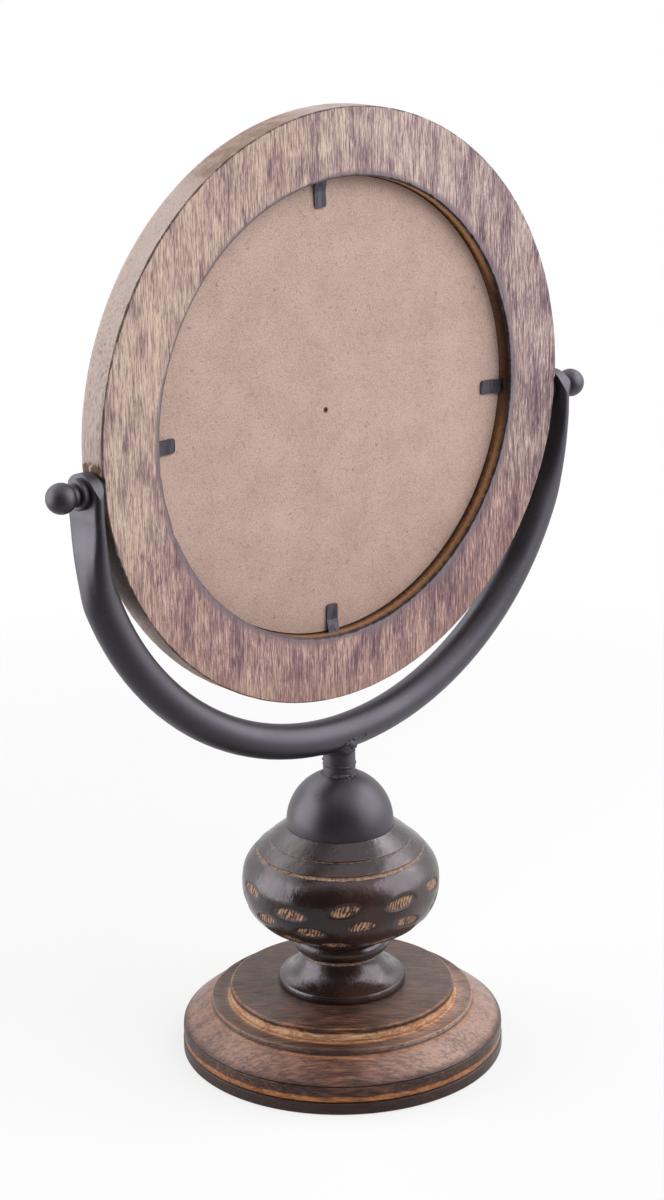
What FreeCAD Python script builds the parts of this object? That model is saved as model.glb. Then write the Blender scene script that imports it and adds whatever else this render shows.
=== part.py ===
import FreeCAD, Part
import math
import os
import re
import Sketcher
from FreeCAD import Placement, Rotation, Vector

# A round table mirror in a wooden ring, hung in a bent tube yoke on a turned wooden stand.
# Origin: middle of the base's underside. X runs along the pivot line, the glass faces -Y.
SIZES = (
    ("frame_diameter", 262, "wooden ring, outside"),
    ("frame_thickness", 18, "wooden ring, front to back"),
    ("frame_front_round", 6, "rounded front edge of the ring"),
    ("frame_back_bevel", 0.7, "eased edges on the back of the ring"),
    ("ring_width", 29.7, "back of the ring, rim to rebate"),
    ("lip_reach", 4.8, "front lip beyond the rebate's wall"),
    ("lip_thickness", 4.9, "front lip that holds the glass"),
    ("lip_bevel", 2, "bevel on the lip's front edge"),
    ("glass_thickness", 3, "silvered glass"),
    ("board_thickness", 3, "fibreboard back"),
    ("rebate_clearance", 0.4, "glass and board inside the rebate, all round"),
    ("pinhole_diameter", 1.6, "small hole near the middle of the board"),
    ("pinhole_offset", 4.7, "that hole from the middle, towards +X"),
    ("pivot_drop", 12.5, "pivot line below the middle of the ring"),
    ("pivot_inset", 6.5, "pivot line in from the back of the ring"),
    ("landing_length", 13, "flat on the rim at each pivot"),
    ("spacer_diameter", 11, "washer between ring and yoke"),
    ("spacer_thickness", 2.8, "washer between ring and yoke"),
    ("side_clearance", 0.1, "between faces that turn on each other"),
    ("insert_diameter", 8, "threaded insert, outside"),
    ("insert_length", 13, "threaded insert"),
    ("insert_clearance", 0.05, "insert in its hole, all round"),
    ("insert_bevel", 0.5, "lead-in at the ends of the insert"),
    ("screw_diameter", 5, "pivot screw shank"),
    ("screw_bevel", 0.6, "lead-in at the tip of the shank"),
    ("thread_clearance", 0.05, "screw in its insert, rod in nut and socket, all round"),
    ("hole_clearance", 0.1, "screw in the yoke's ear and in the washer, all round"),
    ("collar_diameter", 13.4, "collar of the pivot screw"),
    ("collar_length", 3.2, "collar of the pivot screw"),
    ("collar_round", 1.1, "rounded shoulder of the collar"),
    ("throat_diameter", 9.6, "waist between collar and ball"),
    ("ball_diameter", 13.1, "ball head of the pivot screw"),
    ("ball_reach", 9.8, "middle of the ball out from the collar's face"),
    ("point_width", 6.4, "retaining point"),
    ("point_thickness", 0.6, "retaining point"),
    ("point_embed", 6, "retaining point inside the wood"),
    ("point_slope_length", 5.5, "sloped stretch of a retaining point"),
    ("point_flat_length", 7, "level stretch of a retaining point"),
    ("point_lift", 1.9, "level where a point leaves the wood, above the board"),
    ("point_tip_gap", 0.4, "tip of a point above the board"),
    ("point_tip_round", 1.4, "rounded corners of a point's tip"),
    ("point_angle_top", 4.2, "degrees from the top, towards +X"),
    ("point_angle_right", 90.5, "degrees from the top, towards +X"),
    ("point_angle_bottom", 178, "degrees from the top, towards +X"),
    ("point_angle_left", 266.5, "degrees from the top, towards +X"),
    ("tube_diameter", 16, "yoke tube, outside"),
    ("tube_wall", 1.2, "yoke tube wall"),
    ("ear_width", 21, "flattened end of the tube"),
    ("ear_thickness", 5, "flattened end of the tube"),
    ("ear_top", 8.5, "rounded top of the ear, above the pivot"),
    ("ear_inset", 3, "ear set in from the line of the bent tube"),
    ("flatten_length", 52, "arc length below the pivot where flattening starts"),
    ("stem_length", 10, "crown of the dome to the underside of the tube"),
    ("stem_diameter", 14.8, "socket and sleeve, outside"),
    ("socket_length", 6.7, "seam to the underside of the tube"),
    ("cope_clearance", 0.05, "curved seats of socket and sleeve"),
    ("dome_diameter", 49, "sheet dome, outside"),
    ("dome_wall", 1.2, "sheet dome wall"),
    ("dome_skirt", 1.4, "straight rim of the dome"),
    ("column_height", 77.8, "foot to the seat of the dome"),
    ("boss_height", 3, "boss that centres the dome"),
    ("boss_clearance", 0.3, "boss inside the dome, all round"),
    ("crown_diameter", 49.6, "top edge of the bulb"),
    ("crown_rise", 0.1, "bow of the bulb above the fine groove"),
    ("fine_groove_height", 72.4, "fine groove, above the foot"),
    ("fine_groove_diameter", 63.2, "floor of the fine groove"),
    ("fine_groove_depth", 1, "fine groove"),
    ("fine_groove_width", 1, "fine groove"),
    ("bold_groove_height", 65, "bold groove, above the foot"),
    ("bold_groove_diameter", 77.2, "floor of the bold groove"),
    ("bold_groove_depth", 1.7, "bold groove"),
    ("bold_groove_width", 1.8, "bold groove"),
    ("collar_rise", 0.1, "bow of the bulb between the grooves"),
    ("bulb_diameter", 90.7, "widest part of the bulb"),
    ("bulb_height", 49.2, "start of the widest part, above the foot"),
    ("bulb_upright", 3, "upright stretch of the widest part"),
    ("bulb_base_diameter", 43.8, "underside of the bulb"),
    ("bulb_base_height", 28.6, "underside of the bulb, above the foot"),
    ("bead_diameter", 41, "bead under the bulb, at its edges"),
    ("bead_rise", 1.6, "swell of the bead"),
    ("bead_height", 7, "bead under the bulb"),
    ("bead_top", 24, "top of the bead, above the foot"),
    ("waist_diameter", 36.4, "waist above the foot"),
    ("waist_height", 14.9, "waist, above the foot"),
    ("foot_diameter", 57.8, "foot of the column"),
    ("foot_band", 3.6, "upright band of the foot"),
    ("foot_band_rise", 0.5, "swell of the foot's band"),
    ("foot_hollow", 2.3, "hollow of the flare"),
    ("base_height", 31.5, "base, overall"),
    ("base_diameter", 148.8, "base, at its band"),
    ("base_bevel", 0.3, "eased lower edge"),
    ("band_height", 4.9, "plain band round the bottom"),
    ("bead_line_depth", 1.1, "groove above the band"),
    ("bead_line_width", 1.2, "groove above the band"),
    ("slope_diameter", 148, "bead under the slope, at its edges"),
    ("side_bead_rise", 0.25, "swell of that bead"),
    ("slope_start", 13.1, "fine groove at the foot of the slope, above the floor"),
    ("slope_line_depth", 0.8, "that fine groove"),
    ("slope_line_width", 0.8, "that fine groove"),
    ("slope_rise", 0.5, "bow of the slope"),
    ("shelf_diameter", 121.2, "edge at the top of the slope"),
    ("shelf_height", 22.25, "top of the slope, above the floor"),
    ("shelf_step", 2.5, "upright step at that edge"),
    ("shelf_round", 0.6, "rounded top of that step"),
    ("cove_rise", 0.8, "hollow of the cove"),
    ("cove_height", 24.65, "inner edge of the cove, above the floor"),
    ("plate_diameter", 104, "top plate of the base"),
    ("plate_edge_height", 29.6, "upright edge of the plate, above the floor"),
    ("plate_round", 1.4, "inset of the plate's rounded edge"),
    ("plate_round_rise", 0.35, "bow of the plate's rounded edge"),
    ("plate_edge_lift", 30.8, "top of the plate's rounded edge, above the floor"),
    ("rod_diameter", 8, "tie rod"),
    ("rod_clearance", 0.5, "rod in the wood and the dome, all round"),
    ("rod_end_gap", 0.4, "rod below the tube"),
    ("rod_tail", 2.5, "rod below its nut"),
    ("rod_bevel", 0.8, "bevelled ends of the rod"),
    ("counterbore_diameter", 27, "recess under the base"),
    ("counterbore_depth", 14, "recess under the base"),
    ("washer_diameter", 24, "rod washer"),
    ("washer_thickness", 1.6, "rod washer"),
    ("nut_width", 13, "rod nut across its flats"),
    ("nut_height", 6.5, "rod nut"),
    ("nut_bevel", 0.6, "bevelled corners of the nut"),
)

doc = FreeCAD.newDocument("table_mirror")
dims = doc.addObject("Spreadsheet::Sheet", "dims")
for row, (alias, size, note) in enumerate(SIZES, 1):
    dims.set("A%d" % row, note)
    dims.set("B%d" % row, str(size))
    dims.setAlias("B%d" % row, alias)
doc.recompute()

# Places that several pieces share, worked out from the sizes.
COLUMN_TOP = "(base_height + column_height)"
DOME_CENTRE = "(base_height + column_height + dome_skirt)"
DOME_CROWN = "(base_height + column_height + dome_skirt + dome_diameter / 2)"
TUBE_UNDERSIDE = "(" + DOME_CROWN + " + stem_length)"
SEAM_HEIGHT = "(" + TUBE_UNDERSIDE + " - socket_length)"
LANDING_X = "sqrt((frame_diameter / 2)^2 - (pivot_drop + landing_length / 2)^2)"
EAR_INNER_X = "(" + LANDING_X + " + spacer_thickness + side_clearance)"
EAR_OUTER_X = "(" + EAR_INNER_X + " + ear_thickness)"
YOKE_RADIUS = "(" + EAR_INNER_X + " + ear_thickness / 2 + ear_inset)"
PIVOT_HEIGHT = "(" + TUBE_UNDERSIDE + " + tube_diameter / 2 + " + YOKE_RADIUS + ")"
FRAME_CENTRE = "(" + PIVOT_HEIGHT + " + pivot_drop)"
FRAME_FRONT_Y = "(pivot_inset - frame_thickness)"
REBATE_RADIUS = "(frame_diameter / 2 - ring_width)"
GLASS_RADIUS = "(" + REBATE_RADIUS + " - rebate_clearance)"
BOARD_BACK = "(lip_thickness + glass_thickness + board_thickness)"
SCREW_TIP_X = "(" + LANDING_X + " - insert_length + screw_bevel)"
SHANK_LENGTH = "(" + EAR_OUTER_X + " + side_clearance - " + SCREW_TIP_X + ")"
ROD_HOLE = "(rod_diameter / 2 + rod_clearance)"
ROD_BOTTOM = "(counterbore_depth - washer_thickness - nut_height - rod_tail)"
THREAD_HOLE = "(rod_diameter / 2 + thread_clearance)"

UPRIGHT = Rotation()
FACING_BACK = Rotation(Vector(1, 0, 0), -90)
SIDES = (("right", 1), ("left", -1))


def linked(text):
    # every alias has an underscore in it, so each such word gets the sheet's name in front
    return re.sub(r"\b([a-z]+(?:_[a-z]+)+)\b", r"dims.\1", text)


def value(text):
    return float(dims.evalExpression(text))


def place(piece, x="0", y="0", z="0", turn=UPRIGHT):
    piece.Placement = Placement(Vector(), turn)
    for axis, text in (("x", x), ("y", y), ("z", z)):
        if text != "0":
            piece.setExpression("Placement.Base." + axis, linked(text))


def origin_plane(body, role):
    return next(part for part in body.Origin.OriginFeatures if part.Role == role)


def sketch_on(body, name, role, lift="0"):
    sketch = body.newObject("Sketcher::SketchObject", name)
    sketch.AttachmentSupport = [(origin_plane(body, role), "")]
    sketch.MapMode = "FlatFace"
    if lift != "0":
        sketch.setExpression("AttachmentOffset.Base.z", linked(lift))
    return sketch


def pin(sketch, edge, end, kind, axis, text):
    # hold one coordinate of an edge's end at an expression, or on the axis where it is zero
    if text == "0":
        sketch.addConstraint(Sketcher.Constraint("PointOnObject", edge, end, axis))
        return
    index = sketch.addConstraint(Sketcher.Constraint(kind, -1, 1, edge, end, value(text)))
    sketch.setExpression("Constraints[%d]" % index, linked(text))


def arc_between(start, finish, radius, side):
    # the short arc from start to finish, its centre to the left of travel where side is 1
    chord = finish - start
    half = chord.Length / 2
    left = Vector(-chord.y, chord.x, 0).normalize()
    reach = math.sqrt(max(radius * radius - half * half, 0))
    centre = (start + finish) * 0.5 + left * (reach * side)
    first, last = (start, finish) if side > 0 else (finish, start)
    begin = math.atan2(first.y - centre.y, first.x - centre.x)
    end = math.atan2(last.y - centre.y, last.x - centre.x)
    return Part.ArcOfCircle(Part.Circle(centre, Vector(0, 0, 1), radius), begin, end)


def bow(corners, index, rise, side):
    # the arc that starts at a corner and rises this far off its chord
    (x0, y0), (x1, y1) = corners[index], corners[(index + 1) % len(corners)]
    span = "((%s - %s)^2 + (%s - %s)^2)" % (x1, x0, y1, y0)
    return "(%s / (8 * (%s)) + (%s) / 2)" % (span, rise, rise), side


def draw_outline(sketch, corners, arcs):
    # a closed outline through corners given as expressions; arcs maps an edge to radius and side
    spots = [Vector(value(x), value(y), 0) for x, y in corners]
    ends = []
    for i, start in enumerate(spots):
        finish = spots[(i + 1) % len(spots)]
        if i in arcs:
            radius, side = arcs[i]
            sketch.addGeometry(arc_between(start, finish, value(radius), side))
            ends.append((1, 2) if side > 0 else (2, 1))
        else:
            sketch.addGeometry(Part.LineSegment(start, finish))
            ends.append((1, 2))
    for i in range(len(spots)):
        after = (i + 1) % len(spots)
        sketch.addConstraint(Sketcher.Constraint("Coincident", i, ends[i][1], after, ends[after][0]))
    for i, (x, y) in enumerate(corners):
        pin(sketch, i, ends[i][0], "DistanceX", -2, x)
        pin(sketch, i, ends[i][0], "DistanceY", -1, y)
    for i, (radius, side) in arcs.items():
        index = sketch.addConstraint(Sketcher.Constraint("Radius", i, value(radius)))
        sketch.setExpression("Constraints[%d]" % index, linked(radius))


def draw_circle(sketch, radius, x="0", y="0"):
    centre = Vector(value(x), value(y), 0)
    edge = sketch.addGeometry(Part.Circle(centre, Vector(0, 0, 1), value(radius)))
    index = sketch.addConstraint(Sketcher.Constraint("Radius", edge, value(radius)))
    sketch.setExpression("Constraints[%d]" % index, linked(radius))
    pin(sketch, edge, 3, "DistanceX", -2, x)
    pin(sketch, edge, 3, "DistanceY", -1, y)


def new_body(label):
    body = doc.addObject("PartDesign::Body", label)
    body.Label = label
    return body


def turned(label, corners, bows=None, radii=None):
    # a body turned about its own Z, from an outline of (radius, height) corners
    body = new_body(label)
    sketch = sketch_on(body, label + "_profile", "XZ_Plane")
    arcs = dict(radii or {})
    for index, (rise, side) in (bows or {}).items():
        arcs[index] = bow(corners, index, rise, side)
    draw_outline(sketch, corners, arcs)
    turn = body.newObject("PartDesign::Revolution", label + "_turned")
    turn.Profile = sketch
    turn.ReferenceAxis = (sketch, ["V_Axis"])
    turn.Angle = 360
    return body


def ring_piece(label, inner, outer, height):
    # a plain washer or disc with a hole
    return turned(label, [(inner, "0"), (outer, "0"), (outer, height), (inner, height)])


def pocket(body, sketch, name, reverse):
    cut = body.newObject("PartDesign::Pocket", name)
    cut.Profile = sketch
    cut.Type = "ThroughAll"
    cut.Reversed = reverse
    doc.recompute()
    return cut


def framing():
    # the ring is turned, then gets a landing and an insert hole at each pivot
    rim, thick = "frame_diameter / 2", "frame_thickness"
    wall, sight = REBATE_RADIUS, REBATE_RADIUS + " - lip_reach"
    body = turned("frame_blank", [
        (sight + " + lip_bevel", "0"),
        (rim + " - frame_front_round", "0"),
        (rim, "frame_front_round"),
        (rim, thick + " - frame_back_bevel"),
        (rim + " - frame_back_bevel", thick),
        (wall + " + frame_back_bevel", thick),
        (wall, thick + " - frame_back_bevel"),
        (wall, "lip_thickness"),
        (sight, "lip_thickness"),
        (sight, "lip_bevel")], radii={1: ("frame_front_round", 1)})
    place(body, y=FRAME_FRONT_Y, z=FRAME_CENTRE, turn=FACING_BACK)
    doc.recompute()
    solid = body.Shape.Volume
    half = "landing_length / 2"
    flat = sketch_on(body, "landing_outline", "XY_Plane")
    outside = rim + " + spacer_thickness"
    draw_outline(flat, [(LANDING_X, "pivot_drop - " + half), (outside, "pivot_drop - " + half),
                        (outside, "pivot_drop + " + half), (LANDING_X, "pivot_drop + " + half)], {})
    landing = pocket(body, flat, "landing", True)
    hole = sketch_on(body, "insert_hole_outline", "YZ_Plane", LANDING_X + " - insert_length")
    draw_circle(hole, "insert_diameter / 2 + insert_clearance", "pivot_drop", "frame_thickness - pivot_inset")
    drilled = pocket(body, hole, "insert_hole", True)
    both = body.newObject("PartDesign::Mirrored", "both_pivots")
    both.Originals = [landing, drilled]
    both.MirrorPlane = (origin_plane(body, "YZ_Plane"), [""])
    body.Tip = both
    doc.recompute()
    if solid - body.Shape.Volume < 2 * math.pi * value("insert_diameter / 2") ** 2 * value("insert_length"):
        raise RuntimeError("the pivot holes cut too little out of the ring")
    return body


def retaining_point(name):
    # a strip driven into the rebate wall, bent down so that its tip lies on the board
    body = new_body("retaining_point_" + name)
    sketch = sketch_on(body, name + "_point_side", "XY_Plane")
    wall = REBATE_RADIUS
    bend = wall + " - point_slope_length"
    tip = bend + " - point_flat_length"
    high, low = BOARD_BACK + " + point_lift", BOARD_BACK + " + point_tip_gap"
    under = [(tip, low), (bend, low), (wall, high), (wall + " + point_embed", high)]
    above = [(x, y + " + point_thickness") for x, y in reversed(under)]
    draw_outline(sketch, under + above, {})
    pad = body.newObject("PartDesign::Pad", name + "_point_width")
    pad.Profile = sketch
    pad.SideType = "Symmetric"
    pad.setExpression("Length", linked("point_width"))
    doc.recompute()
    corners = []
    for index, edge in enumerate(pad.Shape.Edges, 1):
        ends = edge.Vertexes
        across = abs(ends[0].X - ends[1].X) + abs(ends[0].Z - ends[1].Z)
        if across < 1e-6 and abs(ends[0].X - value(tip)) < 1e-6:
            corners.append("Edge%d" % index)
    rounded = body.newObject("PartDesign::Fillet", name + "_point_tip")
    rounded.Base = (pad, corners)
    rounded.setExpression("Radius", linked("point_tip_round"))
    body.Placement = Placement(Vector(), Rotation(Vector(0, 1, 0), value("point_angle_" + name + " - 90")))
    body.setExpression("Placement.Rotation.Angle", linked("point_angle_" + name + " - 90"))
    body.setExpression("Placement.Base.y", linked(FRAME_FRONT_Y))
    body.setExpression("Placement.Base.z", linked(FRAME_CENTRE))
    return body


def slotted_frame(points):
    # the wood closes round each point where it was driven in
    together = doc.addObject("Part::MultiFuse", "driven_points")
    together.Shapes = points
    ring = doc.addObject("Part::Cut", "frame_ring")
    ring.Label = "frame_ring"
    ring.Base = framing()
    ring.Tool = together
    return ring


def rebate_disc(label, thick, front):
    # a disc that lies in the ring's rebate, its face this far behind the ring's front
    piece = turned(label, [("0", "0"), (GLASS_RADIUS, "0"), (GLASS_RADIUS, thick), ("0", thick)])
    place(piece, y=FRAME_FRONT_Y + " + " + front, z=FRAME_CENTRE, turn=FACING_BACK)
    return piece


def glass_and_board():
    glass = rebate_disc("mirror_glass", "glass_thickness", "lip_thickness")
    board = rebate_disc("backing_board", "board_thickness", "lip_thickness + glass_thickness")
    hole = sketch_on(board, "pinhole_outline", "XY_Plane")
    draw_circle(hole, "pinhole_diameter / 2", "pinhole_offset")
    pocket(board, hole, "pinhole", True)
    return [glass, board]


def outward(piece, side, x):
    # stand a turned piece on the pivot line, its Z pointing out of the ring
    text = x if side > 0 else "-(" + x + ")"
    place(piece, x=text, z=PIVOT_HEIGHT, turn=Rotation(Vector(0, 1, 0), 90 * side))
    return piece


def threaded_insert(name, side):
    bore, rim = "screw_diameter / 2 + thread_clearance", "insert_diameter / 2"
    piece = turned(name + "_insert", [
        (bore, "0"), (rim + " - insert_bevel", "0"), (rim, "insert_bevel"),
        (rim, "insert_length - insert_bevel"), (rim + " - insert_bevel", "insert_length"),
        (bore, "insert_length")])
    return outward(piece, side, LANDING_X + " - insert_length")


def spacer(name, side):
    bore = "screw_diameter / 2 + hole_clearance"
    piece = ring_piece(name + "_spacer", bore, "spacer_diameter / 2", "spacer_thickness")
    return outward(piece, side, LANDING_X)


def pivot_screw(name, side):
    # shank, collar, waist and ball in one turned piece, from the tip outwards
    shank, collar, throat = "screw_diameter / 2", "collar_diameter / 2", "throat_diameter / 2"
    shoulder = SHANK_LENGTH + " + collar_length"
    ball = SHANK_LENGTH + " + ball_reach"
    under_ball = ball + " - sqrt((ball_diameter / 2)^2 - (throat_diameter / 2)^2)"
    piece = turned(name + "_pivot_screw", [
        ("0", "0"), (shank + " - screw_bevel", "0"), (shank, "screw_bevel"), (shank, SHANK_LENGTH),
        (collar, SHANK_LENGTH), (collar, shoulder + " - collar_round"),
        (collar + " - collar_round", shoulder), (throat, shoulder), (throat, under_ball),
        ("0", ball + " + ball_diameter / 2")],
        radii={5: ("collar_round", 1), 8: ("ball_diameter / 2", 1)})
    return outward(piece, side, SCREW_TIP_X)


def oval(centre, out, thick, wide, flatness):
    # four edges round a flattened tube: a circle where flatness is 0, a flat strip where it is 1
    across = Vector(0, 1, 0)
    corner_wide = (1 - flatness) * wide * math.sqrt(0.5) + flatness * (wide - thick)
    corner_thick = (1 - flatness) * thick * math.sqrt(0.5) + flatness * thick

    def spot(o, a):
        return centre + out * o + across * a

    def side(o):
        ends = spot(o * corner_thick, -o * corner_wide), spot(o * corner_thick, o * corner_wide)
        if flatness == 1:
            return Part.LineSegment(*ends).toShape()
        return Part.Arc(ends[0], spot(o * thick, 0), ends[1]).toShape()

    def end(a):
        return Part.Arc(spot(a * corner_thick, a * corner_wide), spot(0, a * wide),
                        spot(-a * corner_thick, a * corner_wide)).toShape()

    return Part.Wire([side(1), end(1), side(-1), end(-1)])


def flattened_leg():
    # the tube's end, pressed flat towards the pivot, drilled and rounded off above it
    radius, tube, ear = value(YOKE_RADIUS), value("tube_diameter / 2"), value("ear_width / 2")
    half, ear_x = value("ear_thickness / 2"), value(YOKE_RADIUS + " - ear_inset")
    first, last = value("flatten_length") / radius, math.asin(ear / radius)
    steps = 9
    sections = []
    for step in range(steps):
        along = step / (steps - 1)
        pressed = along ** 2 * (3 - 2 * along)
        angle = first + (last - first) * along
        lean = first * (1 - pressed)
        drift = (radius * math.cos(last) - ear_x) * pressed
        centre = Vector(radius * math.cos(angle) - drift, 0, -radius * math.sin(angle))
        out = Vector(math.cos(lean), 0, -math.sin(lean))
        sections.append(oval(centre, out, tube + (half - tube) * pressed,
                             tube + (ear - tube) * pressed, pressed))
    leg = Part.makeLoft(sections, True, False)
    strip = Part.Face(sections[-1]).extrude(Vector(0, 0, 2 * ear))
    shoulder = value("ear_top") - ear
    rounding = Part.makeCylinder(ear, 4 * half, Vector(ear_x - 2 * half, 0, shoulder), Vector(1, 0, 0))
    below = Part.makeBox(4 * half, 2 * ear, ear, Vector(ear_x - 2 * half, -ear, shoulder - ear))
    strip = strip.common(rounding.fuse(below))
    bore = Part.makeCylinder(value("screw_diameter / 2 + hole_clearance"), 4 * half,
                             Vector(ear_x - 2 * half, 0, 0), Vector(1, 0, 0))
    return leg.fuse(strip).cut(bore).removeSplitter()


def yoke():
    # a hollow half circle of tube between two flattened legs
    arch = new_body("yoke_arch")
    sketch = sketch_on(arch, "tube_section", "YZ_Plane")
    draw_circle(sketch, "tube_diameter / 2", y=YOKE_RADIUS)
    draw_circle(sketch, "tube_diameter / 2 - tube_wall", y=YOKE_RADIUS)
    bend = arch.newObject("PartDesign::Revolution", "tube_bend")
    bend.Profile = sketch
    bend.ReferenceAxis = (sketch, ["H_Axis"])
    bend.Midplane = True
    bend.setExpression("Angle", linked("180 - 360 * flatten_length / (pi * " + YOKE_RADIUS + ")"))
    place(arch, z=PIVOT_HEIGHT, turn=Rotation(Vector(1, 0, 0), 180))
    leg = flattened_leg()
    legs = []
    for name, side in SIDES:
        shape = leg if side > 0 else leg.mirror(Vector(), Vector(1, 0, 0))
        piece = doc.addObject("Part::Feature", name + "_leg")
        piece.Shape = shape
        place(piece, z=PIVOT_HEIGHT)
        legs.append(piece)
    whole = doc.addObject("Part::MultiFuse", "yoke")
    whole.Label = "yoke"
    whole.Shapes = [arch] + legs
    return whole


def yoke_socket():
    # threaded sleeve, its top coped to sit round the tube
    blank = ring_piece("socket_blank", THREAD_HOLE, "stem_diameter / 2", "socket_length + tube_diameter / 2")
    place(blank, z=SEAM_HEIGHT)
    tube = doc.addObject("Part::Torus", "cope_tube")
    tube.setExpression("Radius1", linked(YOKE_RADIUS))
    tube.setExpression("Radius2", linked("tube_diameter / 2 + cope_clearance"))
    place(tube, z=PIVOT_HEIGHT, turn=Rotation(Vector(1, 0, 0), 90))
    socket = doc.addObject("Part::Cut", "yoke_socket")
    socket.Label = "yoke_socket"
    socket.Base = blank
    socket.Tool = tube
    return socket


def stem_sleeve():
    ball = "dome_diameter / 2 + cope_clearance"
    rim, bore = "stem_diameter / 2", ROD_HOLE
    top = SEAM_HEIGHT + " - " + DOME_CENTRE
    piece = turned("stem_sleeve", [
        (bore, "sqrt((%s)^2 - (%s)^2)" % (ball, bore)), (rim, "sqrt((%s)^2 - (%s)^2)" % (ball, rim)),
        (rim, top), (bore, top)], radii={0: (ball, -1)})
    place(piece, z=DOME_CENTRE)
    return piece


def dome_cap():
    outer, hole = "dome_diameter / 2", ROD_HOLE
    inner = "(dome_diameter / 2 - dome_wall)"
    piece = turned("dome_cap", [
        (inner, "0"), (outer, "0"), (outer, "dome_skirt"),
        (hole, "dome_skirt + sqrt((%s)^2 - (%s)^2)" % (outer, hole)),
        (hole, "dome_skirt + sqrt((%s)^2 - (%s)^2)" % (inner, hole)),
        (inner, "dome_skirt")], radii={2: (outer, 1), 4: (inner, -1)})
    place(piece, z=COLUMN_TOP)
    return piece


def upright_at(far, near, rise):
    # radius of the arc that stands upright at its wide end
    return "(((%s)^2 + (%s)^2) / (2 * (%s)))" % ("%s - %s" % (far, near), rise, "%s - %s" % (far, near))


def column():
    foot, waist, bead = "foot_diameter / 2", "waist_diameter / 2", "bead_diameter / 2"
    under, wide = "bulb_base_diameter / 2", "bulb_diameter / 2"
    bold, fine = "bold_groove_diameter / 2", "fine_groove_diameter / 2"
    bold_lip, fine_lip = bold + " + bold_groove_depth", fine + " + fine_groove_depth"
    bold_low = "bold_groove_height - bold_groove_width / 2"
    boss = "dome_diameter / 2 - dome_wall - boss_clearance"
    piece = turned("column", [
        (ROD_HOLE, "0"), (foot, "0"), (foot, "foot_band"), (waist, "waist_height"),
        (bead, "bead_top - bead_height"), (bead, "bead_top"), (bead, "bulb_base_height"),
        (under, "bulb_base_height"), (wide, "bulb_height"), (wide, "bulb_height + bulb_upright"),
        (bold_lip, bold_low), (bold, "bold_groove_height"),
        (bold + " + bold_groove_depth / 2", "bold_groove_height + bold_groove_width / 2"),
        (fine_lip, "fine_groove_height - fine_groove_width / 2"), (fine, "fine_groove_height"),
        (fine + " + fine_groove_depth / 2", "fine_groove_height + fine_groove_width / 2"),
        ("crown_diameter / 2", "column_height"), (boss, "column_height"),
        (boss, "column_height + boss_height"), (ROD_HOLE, "column_height + boss_height")],
        bows={1: ("foot_band_rise", 1), 2: ("foot_hollow", -1), 4: ("bead_rise", 1),
              12: ("collar_rise", 1), 15: ("crown_rise", 1)},
        radii={7: (upright_at(wide, under, "bulb_height - bulb_base_height"), 1),
               9: (upright_at(wide, "(" + bold_lip + ")",
                              bold_low + " - bulb_height - bulb_upright"), 1)})
    place(piece, z="base_height")
    return piece


def base_disc():
    rim, slope, shelf, plate = ("base_diameter / 2", "slope_diameter / 2", "shelf_diameter / 2",
                                "plate_diameter / 2")
    recess = "counterbore_diameter / 2"
    line, step = "band_height + bead_line_width", "shelf_height + shelf_step"
    return turned("base_disc", [
        (recess, "0"), (rim + " - base_bevel", "0"), (rim, "base_bevel"), (rim, "band_height"),
        (rim + " - bead_line_depth", "band_height + bead_line_width / 2"), (slope, line),
        (slope, "slope_start - slope_line_width / 2"), (slope + " - slope_line_depth", "slope_start"),
        (slope + " - slope_line_depth / 2", "slope_start + slope_line_width / 2"),
        (shelf, "shelf_height"), (shelf, step + " - shelf_round"), (shelf + " - shelf_round", step),
        (plate, "cove_height"), (plate, "plate_edge_height"),
        (plate + " - plate_round", "plate_edge_lift"), ("foot_diameter / 2", "base_height"),
        (ROD_HOLE, "base_height"), (ROD_HOLE, "counterbore_depth"), (recess, "counterbore_depth")],
        bows={5: ("side_bead_rise", 1), 8: ("slope_rise", 1), 11: ("cove_rise", -1),
              13: ("plate_round_rise", 1)},
        radii={10: ("shelf_round", 1)})


def tie_rod():
    rod, length = "rod_diameter / 2", TUBE_UNDERSIDE + " - rod_end_gap - " + ROD_BOTTOM
    piece = turned("tie_rod", [
        ("0", "0"), (rod + " - rod_bevel", "0"), (rod, "rod_bevel"), (rod, length + " - rod_bevel"),
        (rod + " - rod_bevel", length), ("0", length)])
    place(piece, z=ROD_BOTTOM)
    return piece


def rod_washer():
    piece = ring_piece("rod_washer", ROD_HOLE, "washer_diameter / 2", "washer_thickness")
    place(piece, z="counterbore_depth - washer_thickness")
    return piece


def rod_nut():
    # six flats, with the corners turned off at both ends
    corner, seat = "nut_width / sqrt(3)", "counterbore_depth - washer_thickness - nut_height"
    flats = doc.addObject("Part::Prism", "nut_flats")
    flats.Polygon = 6
    flats.setExpression("Circumradius", linked(corner))
    flats.setExpression("Height", linked("nut_height"))
    place(flats, z=seat)
    blank = turned("nut_blank", [
        (THREAD_HOLE, "0"), (corner + " - 2 * nut_bevel", "0"), (corner, "nut_bevel"),
        (corner, "nut_height - nut_bevel"), (corner + " - 2 * nut_bevel", "nut_height"),
        (THREAD_HOLE, "nut_height")])
    place(blank, z=seat)
    nut = doc.addObject("Part::Common", "rod_nut")
    nut.Label = "rod_nut"
    nut.Base = flats
    nut.Tool = blank
    return nut


points = [retaining_point(name) for name in ("top", "right", "bottom", "left")]
nodes = [slotted_frame(points)] + points + glass_and_board()
for name, side in SIDES:
    nodes += [threaded_insert(name, side), spacer(name, side), pivot_screw(name, side)]
nodes += [yoke(), yoke_socket(), stem_sleeve(), dome_cap(), column(), base_disc()]
nodes += [tie_rod(), rod_washer(), rod_nut()]
doc.recompute()

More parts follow.
